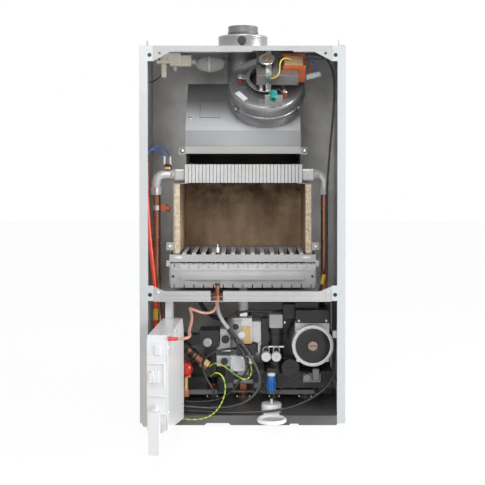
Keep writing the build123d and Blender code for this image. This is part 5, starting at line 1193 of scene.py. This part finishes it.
CAPILLARY = [(59, -195, 21.4), (61.5, -199.5, 29), (69.5, -206.5, 35.5), (78, -209.5, 46),
             (90, -209.5, 58), (105, -209, 68), (120, -206.5, 76), (134, -200, 79.3),
             (143.6, -193, 78)]
HOSE = [(-93, -150, 239.2), (-92.5, -151, 224), (-87, -155, 207), (-74, -162, 193),
        (-57, -170, 185), (-40, -177, 182), (-28, -182.5, 181)]
EARTH_VALVE = [(4.6, -204, 101), (13.5, -209, 98), (18.3, -213, 88.5), (17, -216, 76),
               (9.5, -219, 66.8), (-3, -220, 68), (-20, -218, 80.2), (-37, -214, 93),
               (-53, -209, 98.5), (-64, -203.5, 94.5), (-69, -196.5, 88)]
EARTH_BOX = [(-68, -170.6, 66), (-67.6, -184, 64.5), (-66.3, -198, 67), (-63, -211, 74.5),
             (-54.5, -218.5, 81), (-44, -220.8, 78), (-37, -221.6, 65), (-34.8, -222, 46),
             (-40.5, -222.8, 24), (-53, -225.6, 4), (-70, -230, -7.5), (-92, -233, -11.5),
             (-115, -233.5, -10.8), (-135.6, -233.5, -8)]
FAN_EARTH = [(55, -284, 672), (62, -287.5, 672.6), (70, -289.5, 678.5), (72.5, -289.5, 689.5),
             (72, -287.5, 701), (77.5, -285, 710.5), (88, -280.5, 712.5), (95, -272, 709)]
FAN_LIVE = [(124.5, -252, 712), (133, -252, 708.5), (136.5, -251, 697), (130.5, -249.5, 686.4)]
FAN_RETURN = [(124.5, -256, 716), (134, -257.5, 713.5), (142, -256, 704), (145, -252.5, 692),
              (144.5, -250, 686.4)]
SWITCH_LEAD = [(-198.3, -186, 672), (-189, -184.5, 672.5), (-180, -182, 677), (-172, -180, 683.5),
               (-166.5, -179, 690)]
THERMO_LEADS = ([(-198.3, -226, 520), (-191, -223, 531), (-181, -217, 535), (-170, -212, 529.5),
                 (-160.5, -209.5, 520.5), (-159.3, -209, 510)],
                [(-198.3, -234, 512), (-191, -231, 528), (-178, -224.5, 540), (-162, -216, 540),
                 (-150, -210.5, 529), (-147.3, -209, 510)])
PAIR = [(121, -247, 722), (138, -247.5, 724), (157, -243, 721), (174, -237, 708),
        (182.5, -232.5, 684), (184, -230, 648), (181.5, -229, 600), (176.5, -229, 551),
        (172.5, -229.3, 502), (169, -229.3, 453), (168.5, -228.5, 404), (169.5, -228, 355),
        (168, -227, 306), (162, -222.5, 267), (154, -209, 242), (150, -191, 221.6)]
RED_SLEEVE = [(-194, -230, 512), (-194, -230, 480), (-193, -230, 440), (-190.5, -230, 400),
              (-187, -230, 350), (-182, -230, 305), (-177.5, -230, 262), (-176, -229, 240),
              (-176.5, -226, 200), (-178, -221, 140), (-178.5, -213, 80), (-178, -203, 50),
              (-177, -200, 29.8)]

# Name, route, radius, finish, the CAD node it stands for, and how stiff
CORDS = (
    ("cable_grey", GREY, GREY_R, "grey_cable", "lower_cables"),
    ("cable_sensor", SENSOR, CABLE_R, "cable", "lower_cables"),
    ("cable_coil", COIL_CABLE, CABLE_R, "cable", "lower_cables"),
    ("cable_pump", PUMP_CABLE, CABLE_R, "cable", "lower_cables"),
    ("gauge_capillary", CAPILLARY, CAPILLARY_R, "cable", "lower_cables", "stiff"),
    ("air_hose", HOSE, HOSE_R, "cable", "lower_cables"),
    ("earth_valve", EARTH_VALVE, EARTH_R, "earth", "earth_wires"),
    ("earth_box", EARTH_BOX, EARTH_R, "earth", "earth_wires"),
    ("lead_fan_earth", FAN_EARTH, FINE_R, "yellow", "upper_leads"),
    ("lead_fan_live", FAN_LIVE, FINE_R, "red_lead", "upper_leads"),
    ("lead_fan_return", FAN_RETURN, FINE_R, "blue_lead", "upper_leads"),
    ("lead_switch", SWITCH_LEAD, FINE_R, "cable", "upper_leads"),
    ("lead_thermostat_1", THERMO_LEADS[0], FINE_R, "blue_lead", "upper_leads"),
    ("lead_thermostat_2", THERMO_LEADS[1], FINE_R, "blue_lead", "upper_leads"),
    ("cable_fan", PAIR, PAIR_R, "cable", "upper_leads"),
    ("harness_sleeve", RED_SLEEVE, SLEEVE_R, "red_sleeve"),
)


def cords(look, m):
    """Every cable, lead, tube and sleeve, each one smooth line."""
    path, length = line_of(LEAD, m["lead"])
    core = curve("lead_core", metres(LEAD), look.lead_radius / MM, m["lead"])
    tube = bpy.data.meshes.new_from_object(core)
    tube.name = "ignition_lead_look"
    bpy.data.curves.remove(core.data)
    for polygon in tube.polygons:
        polygon.use_smooth = True
    lead = linked("ignition_lead_look", tube)
    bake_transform(lead)
    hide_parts("ignition_lead")
    for name, points, r, finish, *rest in CORDS:
        free_cord(name, points, r, m[finish], *rest)


def along(name, points, r, first, last, material):
    """A sleeve on a cord: a tube through the points read from the cord's own line."""
    spots, _ = line_of(points, material)
    begin, end = (round(share * (len(spots) - 1)) for share in (first, last))
    piece = curve(name, spots[begin:end + 1], r, material, "POLY", 5)
    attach(piece, "boiler")


def fittings(look, m):
    """The small pieces on the cords: sleeves and the fan's connector."""
    along("grey_cable_sleeve", GREY, 4.0, 0.0, 0.19, m["pale_grey"])
    along("yellow_sleeve_left", RED_SLEEVE, 5.2, 0.655, 0.70, m["yellow"])
    along("yellow_sleeve_right", PAIR, 4.0, 0.868, 0.904, m["yellow"])
    at = upright(144, -249, 681) @ Matrix.Rotation(math.radians(-14), 4, "Y")
    built("fan_connector", m["clear"], (box, -19, 11, -5.5, 5.5, -5, 6, at),
          (box, -17, 9, -6.6, -5.2, -2.6, 3.6, at), bevel=1.0, segments=3)


# Stage

CAMERA_AT = (0.0125, -2.099, 0.513)
CAMERA_TILT = math.radians(88.8)
CAMERA_SHIFT = (-0.0134, -0.130)
FLOOR_HALF = 6.0
FLOOR_WHITE = 1.03


def lamp(name, place, aim, power, size):
    """A soft square light aimed at a point."""
    data = bpy.data.lights.new(name, "AREA")
    data.shape = "SQUARE"
    data.size = size
    data.energy = power
    piece = linked(name, data)
    piece.location = place
    piece.rotation_euler = (Vector(aim) - Vector(place)).to_track_quat("-Z", "Y").to_euler()


def seen_white(tree):
    """A factor of 1 where a camera, glossy or clear ray meets the surface."""
    ray = tree.nodes.new("ShaderNodeLightPath").outputs
    first = maths(tree, "MAXIMUM", ray["Is Camera Ray"], ray["Is Glossy Ray"])
    return maths(tree, "MAXIMUM", first, ray["Is Transmission Ray"])


def stage(look, _):
    """Camera, lights, pale floor and pale surroundings."""
    scene = bpy.context.scene
    data = bpy.data.cameras.new("Camera")
    data.lens = look.lens
    data.shift_x, data.shift_y = CAMERA_SHIFT
    camera = linked("Camera", data)
    camera.location = CAMERA_AT
    camera.rotation_euler = (CAMERA_TILT, 0, 0)
    scene.camera = camera
    bm = bmesh.new()
    bmesh.ops.create_grid(bm, x_segments=1, y_segments=1, size=FLOOR_HALF)
    bmesh.ops.translate(bm, vec=(0, 0, look.floor_height), verts=bm.verts)
    mesh = bpy.data.meshes.new("floor")
    bm.to_mesh(mesh)
    bm.free()
    linked("floor", mesh)
    pale = bpy.data.materials.new("Pale floor")
    pale.use_nodes = True
    mesh.materials.append(pale)
    tree = pale.node_tree
    shader = tree.nodes["Principled BSDF"]
    fill(tree, shader, {"Base Color": (0.86, 0.86, 0.86, 1), "Roughness": 0.9})
    white = add_node(tree, "Emission", "Emission", {"Strength": FLOOR_WHITE})
    share = maths(tree, "MULTIPLY", seen_white(tree), 0.9)
    mix = add_node(tree, "MixShader", "Shader", {"Fac": share, 1: shader.outputs[0], 2: white})
    fill(tree, tree.nodes["Material Output"], {"Surface": mix})
    scene.world = bpy.data.worlds.new("Studio")
    scene.world.use_nodes = True
    tree = scene.world.node_tree
    dim = tree.nodes["Background"]
    fill(tree, dim, {"Color": (0.95, 0.97, 1.0, 1), "Strength": look.sky})
    bright = add_node(tree, "Background", "Background",
                      {"Color": (1, 1, 1, 1), "Strength": 1.0})
    mix = add_node(tree, "MixShader", "Shader",
                   {"Fac": seen_white(tree), 1: dim.outputs[0], 2: bright})
    fill(tree, tree.nodes["World Output"], {"Surface": mix})
    lamp("Key", (-0.5, -2.6, 1.3), (0, -0.2, 0.4), look.key, 1.0)
    lamp("Fill", (2.1, -1.1, 0.6), (-0.1, -0.35, 0.2), look.fill, 1.2)
    lamp("Top", (0.05, -1.55, 2.15), (0, -0.2, 0.55), look.key * 1.15, 0.7)
    scene.view_settings.view_transform = "Standard"


# Properties


def amount(label, about, value, low, high, unit="NONE", subtype="NONE"):
    """A named number with its limits."""
    return FloatProperty(name=label, description=about, default=value, min=low, max=high,
                         unit=unit, subtype=subtype)


def colour(label, about, value):
    """A named linear colour."""
    return FloatVectorProperty(name=label, description=about, default=value, min=0.0, max=1.0,
                               size=3, subtype="COLOR")


class BoilerSizes(PropertyGroup):
    """Sizes and light levels of the boiler's looks."""
    edge: amount("Panel edge", "Rounding of the enamelled panels' edges", 0.0004, 0.0, 0.002,
                 "LENGTH", "DISTANCE")
    lead_radius: amount("Ignition lead radius", "Radius of the ignition lead", 0.0028, 0.001,
                        0.004, "LENGTH", "DISTANCE")
    slot_marks: IntProperty(name="Slots per blade", description="Flame slots along a burner blade",
                            default=22, min=4, max=30)
    knob_ribs: IntProperty(name="Knob ribs", description="Grip ribs round the red safety knob",
                           default=18, min=6, max=36)
    thread_turns: IntProperty(name="Thread turns", description="Turns cut on each tail",
                              default=14, min=4, max=20)
    lens: amount("Lens", "Focal length of the camera in millimetres", 68.96, 20.0, 200.0)
    floor_height: amount("Floor height", "Height of the pale floor", -0.0285, -0.2, 0.0,
                         "LENGTH", "DISTANCE")
    key: amount("Key light", "Power of the main soft light in watts", 12.5, 0.0, 500.0)
    fill: amount("Fill light", "Power of the second soft light in watts", 50.0, 0.0, 500.0)
    sky: amount("Surroundings", "Strength of the light from all round", 0.48, 0.0, 3.0)


class BoilerColours(PropertyGroup):
    """Colours of the finishes that show most."""
    enamel: colour("Enamel", "Casing sides and their front edges", (0.51, 0.535, 0.545))
    rail: colour("Rails", "Roof, gussets, cross rail and plates", (0.46, 0.46, 0.46))
    wall: colour("Inner walls", "Zinc inner faces of the sides", (0.74, 0.725, 0.70))
    hood: colour("Hood", "Galvanised hood and chamber", (0.36, 0.36, 0.355))
    cast: colour("Castings", "Cast alloy of the pump, valve and manifold", (0.43, 0.43, 0.425))
    copper: colour("Copper", "Water pipes", (0.40, 0.18, 0.11))
    board: colour("Board", "Fibre boards of the combustion chamber", (0.64, 0.46, 0.30))
    white: colour("White mouldings", "Control box, gauge and clips", (0.74, 0.745, 0.75))
    beige: colour("Fascia", "Curved front of the control box", (0.52, 0.49, 0.45))
    black: colour("Black mouldings", "Hydraulic blocks and pump covers", (0.012, 0.012, 0.013))
    red: colour("Red", "Safety knob and ignition boot", (0.66, 0.012, 0.010))
    blue: colour("Blue", "Filling tap", (0.002, 0.17, 0.52))
    lead: colour("Ignition lead", "Silicone ignition lead", (0.52, 0.26, 0.19))


# Operators


class Building:
    """What every operator does: it runs its builders with the sizes and the materials."""
    bl_options = {"UNDO"}

    def execute(self, context):
        look, m = context.scene.boiler_sizes, palette(context.scene.boiler_colours)
        for build in self.builders:
            build(look, m)
        return {"FINISHED"}


class BOILER_OT_stage(Building, Operator):
    """Camera, lights, pale floor and surroundings"""
    bl_idname = "boiler.stage"
    bl_label = "Stage"
    builders = (stage,)


class BOILER_OT_cords(Building, Operator):
    """Cables, leads, hose and sleeves with the small pieces on them"""
    bl_idname = "boiler.cords"
    bl_label = "Cords"
    builders = (cords, fittings)


class BOILER_OT_casing(Building, Operator):
    """Side panels, roof, rails and the sheets behind the works"""
    bl_idname = "boiler.casing"
    bl_label = "Casing"
    builders = (casing,)


class BOILER_OT_flue(Building, Operator):
    """Flue collar with its test point and the spigot inside it"""
    bl_idname = "boiler.flue"
    bl_label = "Flue"
    builders = (flue,)


class BOILER_OT_hood(Building, Operator):
    """Folded flue hood with its stampings and screws"""
    bl_idname = "boiler.hood"
    bl_label = "Hood"
    builders = (flue_hood,)


class BOILER_OT_fan(Building, Operator):
    """Seamed drum, rubber mounts, motor, wheel and test cap"""
    bl_idname = "boiler.fan"
    bl_label = "Fan"
    builders = (fan,)


class BOILER_OT_switch(Building, Operator):
    """Cream air-pressure switch with its clear dome"""
    bl_idname = "boiler.switch"
    bl_label = "Pressure switch"
    builders = (switch,)


class BOILER_OT_exchanger(Building, Operator):
    """Fin pack with its headers, elbows and nuts"""
    bl_idname = "boiler.exchanger"
    bl_label = "Heat exchanger"
    builders = (exchanger, thermostats)


class BOILER_OT_pipes(Building, Operator):
    """Copper pipes with smooth bends"""
    bl_idname = "boiler.pipes"
    bl_label = "Pipes"
    builders = (pipes,)


class BOILER_OT_chamber(Building, Operator):
    """Combustion chamber with its fibre boards"""
    bl_idname = "boiler.chamber"
    bl_label = "Chamber"
    builders = (chamber,)


class BOILER_OT_burner(Building, Operator):
    """Blades, rail, manifold, gland and electrode"""
    bl_idname = "boiler.burner"
    bl_label = "Burner"
    builders = (burner,)


class BOILER_OT_gas(Building, Operator):
    """Gas valve with its covers and coil, and the pipe above it"""
    bl_idname = "boiler.gas"
    bl_label = "Gas train"
    builders = (gas,)


class BOILER_OT_pump(Building, Operator):
    """Circulating pump with its face, vent plug and boxes"""
    bl_idname = "boiler.pump"
    bl_label = "Pump"
    builders = (pump,)


class BOILER_OT_return_side(Building, Operator):
    """Return block with its filter cap, actuator, filling tap and drain tap"""
    bl_idname = "boiler.return_side"
    bl_label = "Return block"
    builders = (return_side,)


class BOILER_OT_flow_side(Building, Operator):
    """Flow block, safety valve and plate exchanger"""
    bl_idname = "boiler.flow_side"
    bl_label = "Flow block"
    builders = (flow_side,)


class BOILER_OT_base(Building, Operator):
    """Tray, plates, tails, gauge and clips"""
    bl_idname = "boiler.base"
    bl_label = "Base"
    builders = (base,)


class BOILER_OT_control_box(Building, Operator):
    """White box with its fascia, buttons and mouldings"""
    bl_idname = "boiler.control_box"
    bl_label = "Control box"
    builders = (control_box,)


STEPS = tuple(Building.__subclasses__())


class BOILER_PT_panel(Panel):
    """The boiler's pieces, sizes and colours"""
    bl_idname = "BOILER_PT_panel"
    bl_label = "Combi boiler"
    bl_space_type = "VIEW_3D"
    bl_region_type = "UI"
    bl_category = "Boiler"

    def draw(self, context):
        column = self.layout.column(align=True)
        for step in STEPS:
            column.operator(step.bl_idname)
        for group in (context.scene.boiler_sizes, context.scene.boiler_colours):
            area = self.layout.box()
            for name in group.__annotations__:
                area.prop(group, name)


CLASSES = (BoilerSizes, BoilerColours, *STEPS, BOILER_PT_panel)


def register():
    """Adds the classes and hangs the properties on the scene."""
    for kind in CLASSES:
        bpy.utils.register_class(kind)
    bpy.types.Scene.boiler_sizes = PointerProperty(type=BoilerSizes)
    bpy.types.Scene.boiler_colours = PointerProperty(type=BoilerColours)


def unregister():
    """Takes the properties and the classes away again."""
    del bpy.types.Scene.boiler_colours
    del bpy.types.Scene.boiler_sizes
    for kind in reversed(CLASSES):
        bpy.utils.unregister_class(kind)


def main():
    """Builds every piece in order."""
    register()
    for step in STEPS:
        group, name = step.bl_idname.split(".")
        getattr(getattr(bpy.ops, group), name)()
    bpy.context.view_layer.update()


if __name__ == "__main__":
    main()
